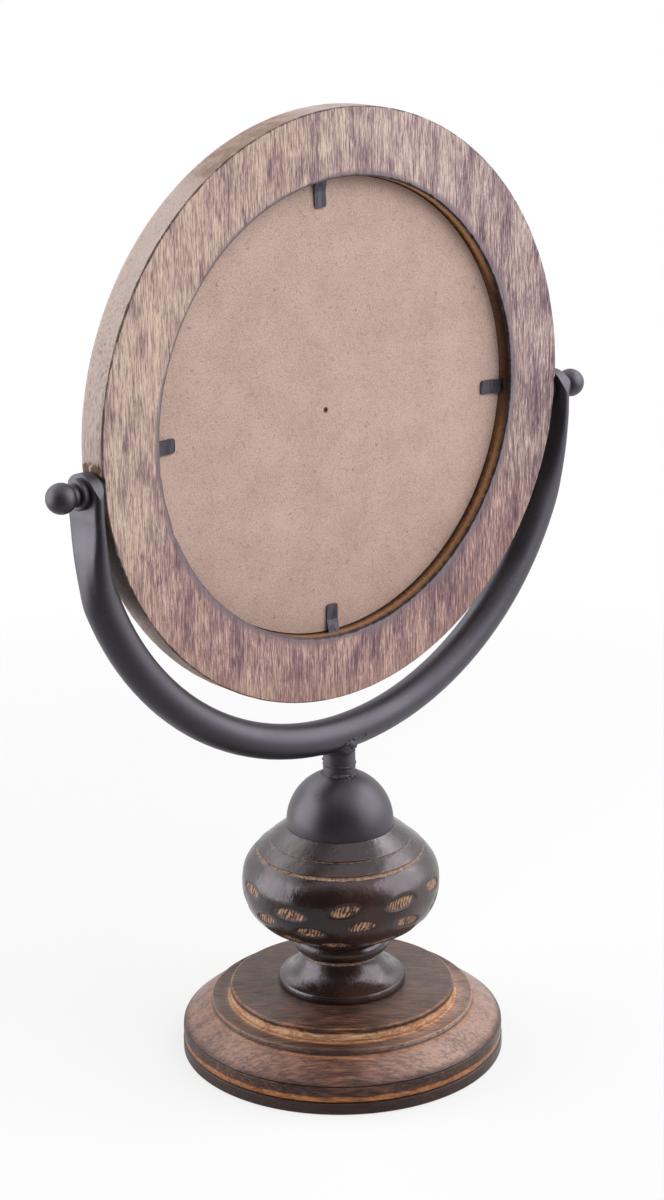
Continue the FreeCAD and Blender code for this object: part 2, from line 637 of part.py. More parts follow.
for thing in doc.Objects:
    if "Invalid" in thing.State or "Error" in thing.State:
        raise RuntimeError("%s did not build: %s" % (thing.Label, thing.State))
for node in nodes:
    if node.Shape.isNull() or not node.Shape.isValid() or len(node.Shape.Solids) != 1:
        raise RuntimeError("%s is not one valid solid" % node.Label)

os.makedirs("parts", exist_ok=True)
for node in nodes:
    node.Shape.exportStep("parts/%s.step" % node.Label)
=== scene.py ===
import bpy
import numpy as np
from mathutils import Matrix, Vector


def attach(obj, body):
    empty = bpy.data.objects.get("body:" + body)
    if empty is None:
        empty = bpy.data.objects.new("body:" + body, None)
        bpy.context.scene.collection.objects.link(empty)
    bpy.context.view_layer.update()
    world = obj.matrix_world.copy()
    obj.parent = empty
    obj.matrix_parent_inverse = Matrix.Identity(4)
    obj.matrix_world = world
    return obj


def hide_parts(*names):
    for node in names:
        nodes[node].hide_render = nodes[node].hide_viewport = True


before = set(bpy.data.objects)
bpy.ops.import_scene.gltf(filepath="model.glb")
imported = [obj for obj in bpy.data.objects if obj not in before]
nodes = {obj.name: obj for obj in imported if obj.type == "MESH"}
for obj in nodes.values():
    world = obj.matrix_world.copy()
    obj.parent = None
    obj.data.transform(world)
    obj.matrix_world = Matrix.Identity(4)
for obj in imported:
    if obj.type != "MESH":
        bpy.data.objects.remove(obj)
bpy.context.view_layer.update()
scene = bpy.context.scene
scene.view_settings.view_transform = "Standard"
mm = 0.001
print("frame loaded,", len(nodes), "nodes")


# camera: stands behind the mirror at the photograph's angle
cameraView = {
    "aim": (0, 0, 0.2), "azimuth": 48.799, "elevation": 18.298, "distance": 1.235491,
    "pan": -0.107, "tilt": -0.712, "roll": 0.730, "lensPixels": 2762.621, "imageHeight": 1200,
}


def direction(azimuth, elevation):
    az, el = np.radians(azimuth), np.radians(elevation)
    return Vector((np.cos(az) * np.cos(el), np.sin(az) * np.cos(el), np.sin(el)))


def aimCamera(view):
    back = direction(view["azimuth"], view["elevation"])
    across = Vector((0, 0, 1)).cross(back).normalized()
    turn = Matrix.Rotation(np.radians(view["roll"]), 3, "Z")
    turn = turn @ Matrix.Rotation(np.radians(view["tilt"]), 3, "X")
    turn = turn @ Matrix.Rotation(np.radians(view["pan"]), 3, "Y")
    axes = turn @ Matrix((across, back.cross(across), back))
    data = bpy.data.cameras.new("camera")
    data.sensor_fit = "VERTICAL"
    data.sensor_height = 36
    data.lens = view["lensPixels"] / view["imageHeight"] * data.sensor_height
    camera = bpy.data.objects.new("camera", data)
    stand = Vector(view["aim"]) + back * view["distance"]
    camera.matrix_world = Matrix.Translation(stand) @ axes.transposed().to_4x4()
    scene.collection.objects.link(camera)
    scene.camera = camera


aimCamera(cameraView)
print("camera set")


# surfaces

# smooth random lumps from 0 to 1: corners of a unit lattice get hashed values, blended between them
def lumps(points, seed):
    cell = np.floor(points)
    part = points - cell
    part = part * part * (3 - 2 * part)
    total = 0
    for corner in np.ndindex(2, 2, 2):
        at = cell + np.array(corner)
        value = np.sin(at @ np.array([127.1, 311.7, 74.7]) + seed * 17.13) * 43758.5453
        weight = np.prod(np.where(np.array(corner) == 1, part, 1 - part), axis=-1)
        total = total + weight * (value - np.floor(value))
    return total


# angles of equal steps round a circle
def roundSteps(count):
    return np.arange(count) * 2 * np.pi / count


# points at a radius, an angle and a height about the upright axis
def turned(radius, angle, height):
    return np.stack([radius * np.cos(angle), radius * np.sin(angle), height + 0 * angle], axis=-1)


# random lumps along a circle of the given radius, at one level or at many
def roundLumps(angle, radius, seed, level=0):
    return lumps(turned(radius + 0 * level, angle, level), seed)


# smooth step from 0 to 1
def smooth(value, low, high):
    t = np.clip((value - low) / (high - low), 0, 1)
    return t * t * (3 - 2 * t)


# rises over the first two marks and falls again over the last two
def between(value, marks):
    begins, fullFrom, fullTo, ends = marks
    return smooth(value, begins, fullFrom) * smooth(value, ends, fullTo)


# 1 at the angles that face one side, fading out away from it
def facing(angle, side, low, high):
    return smooth(np.cos(angle - np.radians(side)), low, high)


# profile of straight or bowed legs: each leg is (end point, rise of the bow, number of steps),
# and its steps crowd towards both ends so that the corners stay crisp
def profileOf(start, legs):
    rows = [np.array([start], float)]
    for end, rise, steps in legs:
        first, last = rows[-1][-1], np.array(end, float)
        chord = last - first
        length = np.hypot(*chord)
        along = chord / length
        t = (1 - np.cos(np.pi * np.arange(1, steps + 1) / steps)) / 2
        if rise:
            half = 2 * np.arctan(2 * rise / length)
            radius = length / (2 * np.sin(half))
            angle = (2 * t - 1) * half
            run = length / 2 + radius * np.sin(angle)
            lift = radius * (np.cos(angle) - np.cos(half))
        else:
            run, lift = t * length, 0 * t
        rows.append(first + run[:, None] * along + lift[:, None] * np.array([-along[1], along[0]]))
    return np.concatenate(rows)


# one or several grids of points (rows, columns, 3) to a mesh:
# columns wrap round, and rows wrap round too or end in caps
def meshFrom(name, grid, wrapRows=True, values=None):
    index = np.arange(grid.size // 3).reshape(-1, *grid.shape[-3:-1])
    lower = index if wrapRows else index[:, :-1]
    upper = np.roll(index, -1, axis=1) if wrapRows else index[:, 1:]
    nextLower, nextUpper = np.roll(lower, -1, axis=2), np.roll(upper, -1, axis=2)
    quads = np.stack([lower, nextLower, nextUpper, upper], axis=-1).reshape(-1, 4)
    points = grid.reshape(-1, 3)
    a, b, c, d = (points[quads[:, k]] for k in range(4))
    volume = (np.cross(a, b) * c).sum() + (np.cross(a, c) * d).sum()
    if volume < 0:
        quads = quads[:, ::-1]
    faces = quads.tolist()
    if not wrapRows:
        first, last = index[:, 0], index[:, -1]
        first, last = (first, last[:, ::-1]) if volume < 0 else (first[:, ::-1], last)
        faces += first.tolist() + last.tolist()
    mesh = bpy.data.meshes.new(name)
    mesh.from_pydata(points.tolist(), [], faces)
    mesh.polygons.foreach_set("use_smooth", np.ones(len(faces), bool))
    for label, value in (values or {}).items():
        layer = mesh.attributes.new(label, "FLOAT", "POINT")
        layer.data.foreach_set("value", np.ascontiguousarray(value, np.float32).ravel())
    mesh.validate()
    piece = bpy.data.objects.new(name, mesh)
    scene.collection.objects.link(piece)
    return piece


# closed profile of (radius, height) turned about the upright axis
def turnedGrid(profile, columns):
    angle = roundSteps(columns)
    return turned(profile[:, :1], angle, profile[:, 1:]), angle


# frame ring: a rebated profile carried round the ring's middle, with open grain on its back.
# Angles run from the top towards +X.
ringForm = {
    "middle": 303.7148, "front": -11.5, "thickness": 18, "outer": 131, "rebate": 101.3, "sight": 96.5,
    "lip": 4.9, "lipBevel": 2, "frontRound": 6, "backBevel": 0.7, "columns": 720,
    "grainDepth": 0.22, "rimGrain": 0.4, "landingReach": 129.615, "landingLow": -19, "landingHigh": -6,
    # size of the hollows of the grain: across, deep and upright
    "coarseGrain": (1.5, 6, 26), "fineGrain": (0.9, 4, 11),
    "chipAngle": 111.2, "chipWidth": 6, "chipDepth": 1.6, "nickDepth": 0.4, "edgeSpread": 1.1,
    "boardLevel": 10.9, "innerLine": 1.3, "outerLine": 1.25, "warmWidth": 7,
    "hazeSide": 215, "hazeWidth": 3.8, "hazeLeast": 0.38, "paintedLitSide": 80,
    "goldenSide": 205, "litWallTop": 328, "warmSide": 180, "scuffAngle": 92.0, "scuffWidth": 1.7,
    # stretches of the rim: begins, full from, full to, ends
    "stainSpan": (6, 14, 32, 38), "legShadeSpan": (96, 102, 116, 127),
}


def makeRing(form):
    outer, rebate, sight, board = form["outer"], form["rebate"], form["sight"], form["boardLevel"]
    deep, bevel, rounding = form["thickness"], form["backBevel"], form["frontRound"]
    bow = rounding * (1 - np.sqrt(0.5))
    profile = profileOf((sight + form["lipBevel"], 0), [
        ((outer - rounding, 0), 0, 22), ((outer, rounding), -bow, 10), ((outer, deep - bevel), 0, 10),
        ((outer - bevel, deep), -0.15, 3),
        ((rebate + bevel, deep), 0, 40), ((rebate, deep - bevel), -0.15, 3),
        ((rebate, form["lip"]), 0, 12), ((sight, form["lip"]), 0, 5), ((sight, form["lipBevel"]), 0, 4),
        ((sight + form["lipBevel"], 0), 0, 4)])[:-1]
    angle = roundSteps(form["columns"])
    # each row of the profile keeps its own radius and depth, for masks that do not follow the grain
    rowRadius, rowDepth = profile[:, :1], profile[:, 1:]
    radius, depth = rowRadius + 0 * angle, rowDepth + 0 * angle
    onBack = smooth(depth, deep - bevel, deep)
    flat = np.stack([radius * np.sin(angle), depth, radius * np.cos(angle)], axis=-1)
    # grain lies upright: long narrow hollows on the back, shallower on the rim
    coarse = lumps(flat / np.array(form["coarseGrain"]), 3)
    fine = lumps(flat / np.array(form["fineGrain"]), 8)
    hollow = form["grainDepth"] * smooth(0.6 * coarse + 0.4 * fine, 0.62, 0.25)
    depth = depth - hollow * onBack
    onRim = smooth(radius, outer - 1.5, outer)
    radius = radius - form["rimGrain"] * hollow * onRim * (1 - onBack)
    # one chip broken from the inner back edge, and many smaller nicks
    turn = np.degrees(angle) - form["chipAngle"]
    bites = lumps(np.stack([angle * 40, 0 * angle, 0 * angle], axis=-1), 5)
    nick = smooth(bites, 0.72, 0.95) * form["nickDepth"]
    chip = form["chipDepth"] * np.exp(-(turn * np.pi / 180 * rebate / form["chipWidth"] * 2) ** 2) + nick
    nearEdge = np.exp(-((rowRadius - rebate) ** 2 + (rowDepth - deep) ** 2) / form["edgeSpread"])
    depth = depth - chip * nearEdge
    across, up = radius * np.sin(angle), radius * np.cos(angle)
    inLanding = (up > form["landingLow"]) & (up < form["landingHigh"])
    across = np.where(inLanding, np.clip(across, -form["landingReach"], form["landingReach"]), across)
    grid = np.stack([across, depth + form["front"], up + form["middle"]], axis=-1) * mm
    backFace = smooth(rowDepth, deep - 1.2, deep - 0.2) * smooth(rowRadius, rebate - 0.2, rebate + 0.6)
    wall = (rowRadius < rebate + 0.8) & (rowDepth > form["lip"] - 0.1)
    fromInner = np.hypot(np.maximum(rowRadius - rebate, 0), 1.6 * (deep - rowDepth))
    fromOuter = np.hypot(1.3 * (outer - rowRadius), deep - rowDepth)
    lean = 0.5 + 0.5 * np.cos(angle - np.radians(form["hazeSide"]))
    least = form["hazeLeast"]
    hazeWidth = form["hazeWidth"] * (least + (1 - least) * lean) * (0.55 + 0.8 * roundLumps(angle, 5, 7))
    degrees, onSide = np.degrees(angle), smooth(rowRadius, outer - 1.2, outer - 0.4)
    # painted light: the stretches of the rebate wall facing two sides are drawn as lit
    golden = facing(angle, form["goldenSide"], 0.45, 0.85)
    golden = np.maximum(golden, facing(angle, form["litWallTop"], 0.78, 0.96))
    values = {
        "backFace": backFace + 0 * angle, "wall": wall * (1 - backFace) + 0 * angle,
        "innerEdge": np.exp(-fromInner / form["innerLine"]) + chip * nearEdge,
        "innerHaze": np.clip(1 - fromInner / (2 * hazeWidth), 0, 1) * backFace,
        "outerEdge": np.exp(-fromOuter / form["outerLine"]) + 0 * angle,
        "wallRise": np.clip((rowDepth - board) / (deep - board), 0, 1) + 0 * angle,
        "litWallSide": wall * golden,
        "rimStain": onSide * between(degrees, form["stainSpan"]),
        # painted shade: the stretch of the rim beside one leg, drawn dark as the leg's shadow with some burnt
        # wood
        "rimLegShade": onSide * between(degrees, form["legShadeSpan"]),
        "rimScuff": onSide * np.exp(-((degrees - form["scuffAngle"]) / form["scuffWidth"]) ** 2),
        "warmRim": np.exp(-fromOuter / form["warmWidth"]) * facing(angle, form["warmSide"], 0.2, 0.9),
        # painted light: the side of the ring that is drawn lighter, and its upper part
        "paintedLitSide": 0.5 + 0.5 * np.cos(angle - np.radians(form["paintedLitSide"])) + 0 * rowRadius,
        "litUpperPart": smooth(np.cos(angle), -0.75, 0.1) + 0 * rowRadius,
    }
    ring = meshFrom("frameRingWood", grid, values=values)
    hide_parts("frame_ring")
    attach(ring, "mirror")
    return ring


frameRing = makeRing(ringForm)
print("ring made")


# column: foot, bead and bulb turned in one, with rows of gouges cut into the bulb's lower half
columnForm = {
    "foot": 31.5, "hole": 4.5, "height": 80.8, "columns": 540,
    # legs of the profile below and above the bulb, and the corners of the bulb between them
    "footLegs": (
        ((28.9, 0), 0, 2), ((28.9, 3.6), -0.5, 6), ((18.2, 14.9), 2.3, 22), ((20.5, 17), 0, 5),
        ((20.5, 24), -1.6, 14)),
    "bulb": ((21.9, 28.6), (45.35, 49.2), (45.35, 52.2), (39.3, 65.2)),
    "topLegs": (
        ((37.4, 66.1), 0, 5), ((38.1, 67), 0, 5), ((33.0, 70.9), -0.12, 10), ((32.1, 71.4), 0, 4),
        ((32.5, 71.9), 0, 4), ((24.8, 77.8), -0.1, 9), ((23, 77.8), 0, 2), ((23, 80.8), 0, 2)),
    # each gouge: azimuth, height and half length
    "upperRow": (
        (-15.6, 53.5, 8.5), (17.7, 49.6, 10.2), (51.0, 53.3, 8.6), (86.0, 53.4, 10.3), (117.0, 54.0, 8.6),
        (150, 52.4, 7.8), (183, 53.6, 9.2), (215, 51.2, 8.1), (248, 53.0, 9.6), (281, 52.0, 8.4),
        (312, 53.2, 8.8)),
    "middleRow": (
        (-1.6, 43.0, 8.2), (29.7, 41.6, 8.8), (60.8, 45.2, 8.2), (91.6, 43.0, 9.1), (125, 43.6, 8.0),
        (159, 42.2, 8.7), (192, 44.0, 7.6), (226, 43.1, 9.0), (260, 42.0, 8.3), (294, 44.2, 7.9),
        (327, 42.6, 8.6)),
    "lowerRow": (
        (13, 34.6, 7.0), (45, 34.0, 8.5), (79, 33.4, 8.3), (113, 34.2, 7.3), (147, 33.6, 8.1),
        (181, 34.5, 7.2), (214, 33.8, 8.4), (248, 34.4, 7.7), (282, 33.5, 8.2), (315, 34.1, 7.1),
        (345, 33.7, 7.3)),
    "gougeHeight": 3.3, "gougeDepth": 0.7, "lean": 0.10, "climbMost": 1.9, "seed": 4,
    "strandDepth": 0.14, "fibrePitch": 1.75, "strandLean": 0.4, "strandWander": 1.6,
    "bulbLow": 28.4, "bulbHigh": 63, "waver": 0.1, "waverSpan": (1, 77), "goldenSide": 58,
    # rubbed lines: height and width
    "boldLine": (66.0, 0.66), "fineLine": (71.4, 0.32), "waistLine": (15.5, 1.2), "rubbedEdge": (28.2, 0.8),
}


# rise of a circular bow that runs upright at its wide end
def uprightBow(narrow, wide):
    across, up = wide[0] - narrow[0], abs(wide[1] - narrow[1])
    radius = (across ** 2 + up ** 2) / (2 * across)
    return -radius * (1 - np.cos(np.arccos(1 - across / radius) / 2))


def makeColumn(form):
    under, low, high, lip = form["bulb"]
    profile = profileOf((form["hole"], 0), [
        *form["footLegs"], (under, 0, 6), (low, uprightBow(under, low), 56), (high, 0, 8),
        (lip, uprightBow(lip, high), 18), *form["topLegs"],
        ((form["hole"], form["height"]), 0, 2), ((form["hole"], 0), 0, 2)])[:-1]
    grid, angle = turnedGrid(profile, form["columns"])
    radius, height = profile[:, :1], profile[:, 1:]
    draw = np.random.default_rng(form["seed"])
    cut, strands = 0 * radius + 0 * angle, 0 * radius + 0 * angle
    slope = np.gradient(profile[:, 0])[:, None], np.gradient(profile[:, 1])[:, None]
    climb = np.hypot(*slope) / np.maximum(np.abs(slope[1]), 0.05)
    onBulb = (height > form["bulbLow"]) & (height < form["bulbHigh"])
    for row in (form["upperRow"], form["middleRow"], form["lowerRow"]):
        turns, levels, lengths = np.array(row).T
        away = (np.degrees(angle)[:, None] - turns + 180) % 360 - 180
        place = np.abs(away).argmin(axis=1)
        lean = draw.normal(0, form["lean"], len(row))
        run = np.radians(away[np.arange(len(angle)), place]) * radius
        lift = (height - levels[place]) * np.minimum(climb, form["climbMost"]) - lean[place] * run
        lens = 1 - (run / lengths[place]) ** 2 - (lift / form["gougeHeight"]) ** 2
        wander = lumps(np.stack([run / 2.4, lift / 4, 0 * run + place], axis=-1), 14)
        phase = (run - form["strandLean"] * lift + form["strandWander"] * wander) / form["fibrePitch"]
        strand = 0.5 + 0.5 * np.sin(2 * np.pi * phase + place)
        cut = np.maximum(cut, lens * onBulb)
        strands = np.where(lens > 0, strand, strands)
    inside = np.clip(cut, 0, 1)
    sunk = form["gougeDepth"] * smooth(inside, 0, 0.8)
    sunk = sunk + form["strandDepth"] * strands * smooth(inside, 0.1, 0.6)
    # hand-turned waver, always inwards
    waver = form["waver"] * roundLumps(angle, 3, 2, height / 9)
    begins, ends = form["waverSpan"]
    outside = radius > 2 * form["hole"]
    shrink = (sunk + waver * (height > begins) * (height < ends)) * outside
    grid[..., 0] -= shrink * np.cos(angle)
    grid[..., 1] -= shrink * np.sin(angle)
    grid[..., 2] += form["foot"]
    # the bold line is rubbed most on one side
    waning = 0.40 + 0.45 * roundLumps(angle, 2.5, 12)
    waning = waning + 0.4 * facing(angle, form["goldenSide"], 0.6, 0.95)
    values = {"gouge": smooth(cut, -0.12, 0.75), "fibres": strands}
    for label in ("boldLine", "fineLine", "waistLine", "rubbedEdge"):
        middle, width = form[label]
        values[label] = np.exp(-((height - middle) / width) ** 2) * outside + 0 * angle
    values["boldLine"] = values["boldLine"] * waning
    column = meshFrom("turnedColumn", grid * mm, values=values)
    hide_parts("column")
    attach(column, "stand")
    return column


column = makeColumn(columnForm)


# base: moulded disc, turned, with the wear, painted shade and painted sheen noted by height and radius
baseForm = {
    "hole": 4.5, "height": 31.5, "recess": 13.5, "recessDepth": 14, "columns": 560,
    # legs of the profile from the underside to the flat under the column
    "legs": (
        ((74.1, 0), 0, 10), ((74.4, 0.3), -0.05, 3), ((74.4, 4.9), 0, 9), ((73.3, 5.5), 0, 4),
        ((74, 6.1), 0, 4), ((74, 12.7), -0.25, 12), ((73.2, 13.1), 0, 4), ((73.6, 13.5), 0, 4),
        ((60.6, 22.25), -0.5, 30), ((60.6, 24.15), 0, 6), ((60, 24.75), -0.18, 5), ((52, 24.65), 0.8, 18),
        ((52, 29.6), 0, 10), ((50.6, 30.8), -0.35, 6), ((28.9, 31.5), 0, 24)),
    # painted shade in the grooves and creases between the mouldings and under the column's foot: radius,
    # height and width
    "shadedCreases": ((73.3, 5.5, 0.55), (73.2, 13.1, 0.6), (60.7, 22.5, 0.55), (28.9, 31.5, 1.4)),
    # spots of wear, of wear with painted highlight, and of painted shade in the cove: radius, height and
    # width
    "plateFoot": (53, 24.3, 1.2), "plateEdge": (51.2, 30.4, 0.7), "slopeEdge": (61.6, 21.6, 1.0),
    "coveShade": (55.8, 24.0, 3.0),
    # heights that part the mouldings, and the radius of the plate under the column
    "bandTop": 5.4, "slopeLow": 13.2, "slopeHigh": 22.4, "gutterTop": 24.9, "mouldTop": 25.4, "plateTop": 30,
    "plate": 52,
    # worn line round the plate: height and width; worn bead: begins, full from, full to, ends
    "plateLine": (26.7, 1.9), "beadSpan": (5.6, 6.2, 7.2, 10.5),
    "waverDown": 0.12, "waverIn": 0.10, "fadeAndSheenSide": 118, "leftSheenSide": -22,
}


def makeBase(form):
    hole, recess, deep = form["hole"], form["recess"], form["recessDepth"]
    profile = profileOf((recess, 0), [
        *form["legs"], ((hole, form["height"]), 0, 4), ((hole, deep), 0, 5), ((recess, deep), 0, 4),
        ((recess, 0), 0, 6)])[:-1]
    grid, angle = turnedGrid(profile, form["columns"])
    radius, height = profile[:, :1], profile[:, 1:]
    # hand-turned waver, always inwards and down
    waver = roundLumps(angle, 5, 6, height / 5)
    outside = (radius > 30) * smooth(height, 1, 5)
    grid[..., 2] -= form["waverDown"] * waver * outside * (radius < 73)
    grid[..., 0] -= form["waverIn"] * waver * outside * np.cos(angle)
    grid[..., 1] -= form["waverIn"] * waver * outside * np.sin(angle)

    def near(r, z, width):
        return np.exp(-((radius - r) ** 2 + (height - z) ** 2) / width ** 2) + 0 * angle

    plate = form["plate"]
    lineHeight, lineWidth = form["plateLine"]
    moulded = smooth(height, 13.6, 16) * (height < form["mouldTop"]) * (radius > plate + 0.3)
    # painted sheen: the mouldings are drawn paler towards two sides, on one of them also as wood worn lighter
    fadeAndSheen = facing(angle, form["fadeAndSheenSide"], 0.3, 0.95)
    leftSheen = facing(angle, form["leftSheenSide"], 0.3, 0.95)
    # painted shade in the grooves, creases and cove, and under the column's foot
    shadedCreases = sum(near(*seam) for seam in form["shadedCreases"])
    coveShade = near(*form["coveShade"]) * (height < form["gutterTop"]) * (1 - fadeAndSheen)
    onSlope = (height > form["slopeLow"]) * (height < form["slopeHigh"])
    values = {
        "plateWear": np.exp(-((height - lineHeight) / lineWidth) ** 2) * (np.abs(radius - plate) < 1)
        + 0.5 * near(*form["plateFoot"]),
        "beadWear": between(height, form["beadSpan"]) * (radius > 68) + 0 * angle,
        # wear on the rounded edges, partly a painted highlight
        "edgeWearAndGlint": near(*form["slopeEdge"]) + 0.8 * near(*form["plateEdge"]),
        "creaseShade": shadedCreases + 0.6 * coveShade,
        "slope": (0.25 + 0.75 * smooth(height, 13.6, 17)) * onSlope + 0 * angle,
        "fadeAndSheen": np.maximum(fadeAndSheen, 0.5 * leftSheen) * np.maximum(moulded, 0.22 * (height > form["plateTop"])),
        "band": (height < form["bandTop"]) * (radius > 70) + 0 * angle,
    }
    base = meshFrom("turnedBase", grid * mm, values=values)
    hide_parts("base_disc")
    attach(base, "stand")
    return base


base = makeBase(baseForm)
print("column and base made")


# weld beads: a lumpy round carried along a closed curve about the stem
weldForm = {
    "stem": 7.4, "tubeMiddle": 153.2, "tube": 8.0, "seam": 138.5, "domeFoot": 134.0,
    "columns": 220, "round": 14, "heavySide": 105,
}


def makeBead(name, form, heightAt, thick, uneven, seed, reach):
    angle = roundSteps(form["columns"])
    around = roundSteps(form["round"])[:, None]
    wobble = roundLumps(angle, 4, seed)
    heavy = 0.5 + 0.5 * np.cos(angle - np.radians(form["heavySide"]))
    size = thick * (0.6 + uneven * wobble + 0.6 * uneven * heavy)
    # finer lumps over the skin, along and round the bead
    over = [
        8 * np.cos(angle) + 2 * np.cos(around), 8 * np.sin(angle) + 2 * np.sin(around),
        0 * around + 0 * angle]
    skin = lumps(np.stack(over, axis=-1), seed + 1)
    size = size * (0.85 + 0.3 * skin)
    out = form["stem"] + reach + size * np.cos(around)
    up = heightAt(angle) + size * np.sin(around) * 1.15
    bead = meshFrom(name, turned(out, angle, up) * mm)
    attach(bead, "stand")
    return bead


# height at which the stem meets the underside of the tube
def saddle(angle):
    side = weldForm["stem"] * np.sin(angle)
    return weldForm["tubeMiddle"] - np.sqrt(weldForm["tube"] ** 2 - side ** 2)


def seamHeight(angle):
    return weldForm["seam"] + 0.25 * np.sin(3 * angle)


def footHeight(angle):
    return weldForm["domeFoot"] + 0 * angle


# thickness, unevenness, seed, and how far the bead's middle lies beyond the stem
beads = [
    makeBead("socketWeld", weldForm, saddle, 1.25, 0.6, 11, -0.5),
    makeBead("seamWeld", weldForm, seamHeight, 0.42, 0.7, 21, -0.2),
    makeBead("sleeveWeld", weldForm, footHeight, 0.95, 0.7, 31, -0.45),
]


# weld spatter: flattened lumps, each a round of latitude and longitude set on the metal beside the stem
spatterForm = {
    "rows": 8, "columns": 14, "seed": 9,
    "spots": (  # azimuth, distance from the axis, height, half width, half height, proud by
        (80, 7.1, 147.6, 4.4, 3.4, 1.2), (99, 7.3, 149.0, 2.6, 2.4, 1.3), (112, 7.9, 151.6, 1.4, 1.2, 0.8),
        (142, 12.5, 151.9, 0.8, 0.7, 0.5), (-40, 7.3, 140.6, 0.8, 0.7, 0.6),
        (-37, 7.6, 134.4, 1.3, 0.9, 0.9), (94, 7.7, 133.9, 1.8, 1.0, 1.0), (80, 8.1, 133.6, 1.2, 0.6, 0.7),
        (106, 8.2, 133.8, 1.0, 0.7, 0.7), (62, 9.4, 133.2, 0.9, 0.4, 0.35), (77, 7.3, 138.3, 1.2, 0.5, 0.45)),
}


def makeSpatter(form):
    spots = np.array(form["spots"], float)
    lat = np.linspace(-0.46, 0.46, form["rows"])[:, None] * np.pi
    lon = roundSteps(form["columns"])
    ball = np.stack([np.sin(lat) + 0 * lon, np.cos(lat) * np.cos(lon), np.cos(lat) * np.sin(lon)], axis=-1)
    turn = np.radians(spots[:, 0])
    outward = np.stack([np.cos(turn), np.sin(turn), 0 * turn], axis=-1)
    sideways = np.stack([-np.sin(turn), np.cos(turn), 0 * turn], axis=-1)
    axes = np.stack([outward, sideways, 0 * outward + (0, 0, 1)], axis=1)
    uneven = 0.7 + 0.6 * lumps(1.7 * ball + 5 * np.arange(len(spots))[:, None, None, None], form["seed"])
    sized = ball * spots[:, None, None, [5, 3, 4]] * uneven[..., None]
    centre = outward * spots[:, 1:2] + np.array([0, 0, 1]) * spots[:, 2:3]
    grid = centre[:, None, None] + np.einsum("krci,kij->krcj", sized, axes)
    spatter = meshFrom("weldSpatter", grid * mm, wrapRows=False)
    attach(spatter, "stand")
    return spatter


beads.append(makeSpatter(spatterForm))
print("welds made")


# tie rod: thread of triangular section, radius rising and falling with height less turn
rodForm = {
    "low": 3.4, "high": 144.8, "crest": 4.0, "depth": 0.62, "pitch": 1.25, "taper": 1.2,
    "columns": 24, "perPitch": 6,
}


def makeRod(form):
    count = int((form["high"] - form["low"]) / form["pitch"] * form["perPitch"])
    height = np.linspace(form["low"], form["high"], count)[:, None]
    angle = roundSteps(form["columns"])
    phase = (height / form["pitch"] - angle / (2 * np.pi)) % 1
    taper = smooth(height - form["low"], 0, form["taper"]) * smooth(form["high"] - height, 0, form["taper"])
    radius = form["crest"] - form["depth"] * np.maximum(np.abs(2 * phase - 1), 1 - taper)
    rod = meshFrom("threadedRod", turned(radius, angle, height) * mm, wrapRows=False)
    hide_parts("tie_rod")
    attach(rod, "stand")
    return rod


rod = makeRod(rodForm)
print("rod made")


# node helpers
def put(tree, kind, settings=None, **sockets):
    node = tree.nodes.new("ShaderNode" + kind)
    for key, value in (settings or {}).items():
        setattr(node, key, value)
    for name, value in sockets.items():
        join(tree, value, node.inputs[name.replace("_", " ")])
    return node


def join(tree, value, socket):
    if isinstance(value, bpy.types.NodeSocket):
        tree.links.new(value, socket)
    else:
        socket.default_value = value


def calc(tree, operation, *values):
    node = tree.nodes.new("ShaderNodeMath")
    node.operation = operation
    for k, value in enumerate(values):
        join(tree, value, node.inputs[k])
    return node.outputs[0]


def vector(tree, operation, *values):
    node = tree.nodes.new("ShaderNodeVectorMath")
    node.operation = operation
    for k, value in enumerate(values):
        join(tree, value, node.inputs[k])
    return node


def times(tree, first, second):
    return calc(tree, "MULTIPLY", first, second)


# a base value, plus an amount times how far another value lies from its middle
def sway(tree, value, amount, base, middle=0.5):
    return calc(tree, "MULTIPLY_ADD", calc(tree, "SUBTRACT", value, middle), amount, base)


def stretch(tree, place, factor):
    return vector(tree, "MULTIPLY", place, factor).outputs["Vector"]


def noise(tree, place, scale=1.0, detail=3.0, rough=0.55):
    return put(tree, "TexNoise", Vector=place, Scale=scale, Detail=detail, Roughness=rough).outputs["Fac"]


def spread(tree, value, low, high, toLow=0.0, toHigh=1.0):
    node = put(tree, "MapRange", {"interpolation_type": "SMOOTHSTEP"}, Value=value)
    for name, number in (("From Min", low), ("From Max", high), ("To Min", toLow), ("To Max", toHigh)):
        join(tree, number, node.inputs[name])
    return node.outputs["Result"]


def ramp(tree, value, stops):
    node = put(tree, "ValToRGB", Fac=value)
    while len(node.color_ramp.elements) < len(stops):
        node.color_ramp.elements.new(1.0)
    for element, (at, colour) in zip(node.color_ramp.elements, stops):
        element.position = at
        element.color = (*colour, 1)
    return node.outputs["Color"]


def mix(tree, mask, first, second, mode="MIX"):
    node = tree.nodes.new("ShaderNodeMix")
    node.data_type, node.blend_type = "RGBA", mode
    join(tree, mask, node.inputs[0])
    for socket, value in ((node.inputs[6], first), (node.inputs[7], second)):
        join(tree, value if isinstance(value, bpy.types.NodeSocket) else (*value, 1), socket)
    return node.outputs[2]


def attribute(tree, name):
    return put(tree, "Attribute", {"attribute_name": name}).outputs["Fac"]


def group(name, ins, outs):
    tree = bpy.data.node_groups.new(name, "ShaderNodeTree")
    for label, kind, value in ins:
        socket = tree.interface.new_socket(label, in_out="INPUT", socket_type="NodeSocket" + kind)
        socket.default_value = value
    for label in outs:
        tree.interface.new_socket(label, in_out="OUTPUT", socket_type="NodeSocketFloat")
    return tree, tree.nodes.new("NodeGroupInput").outputs, tree.nodes.new("NodeGroupOutput").inputs


def use(tree, made, **sockets):
    node = tree.nodes.new("ShaderNodeGroup")
    node.node_tree = made
    for name, value in sockets.items():
        join(tree, value, node.inputs[name])
    return node.outputs


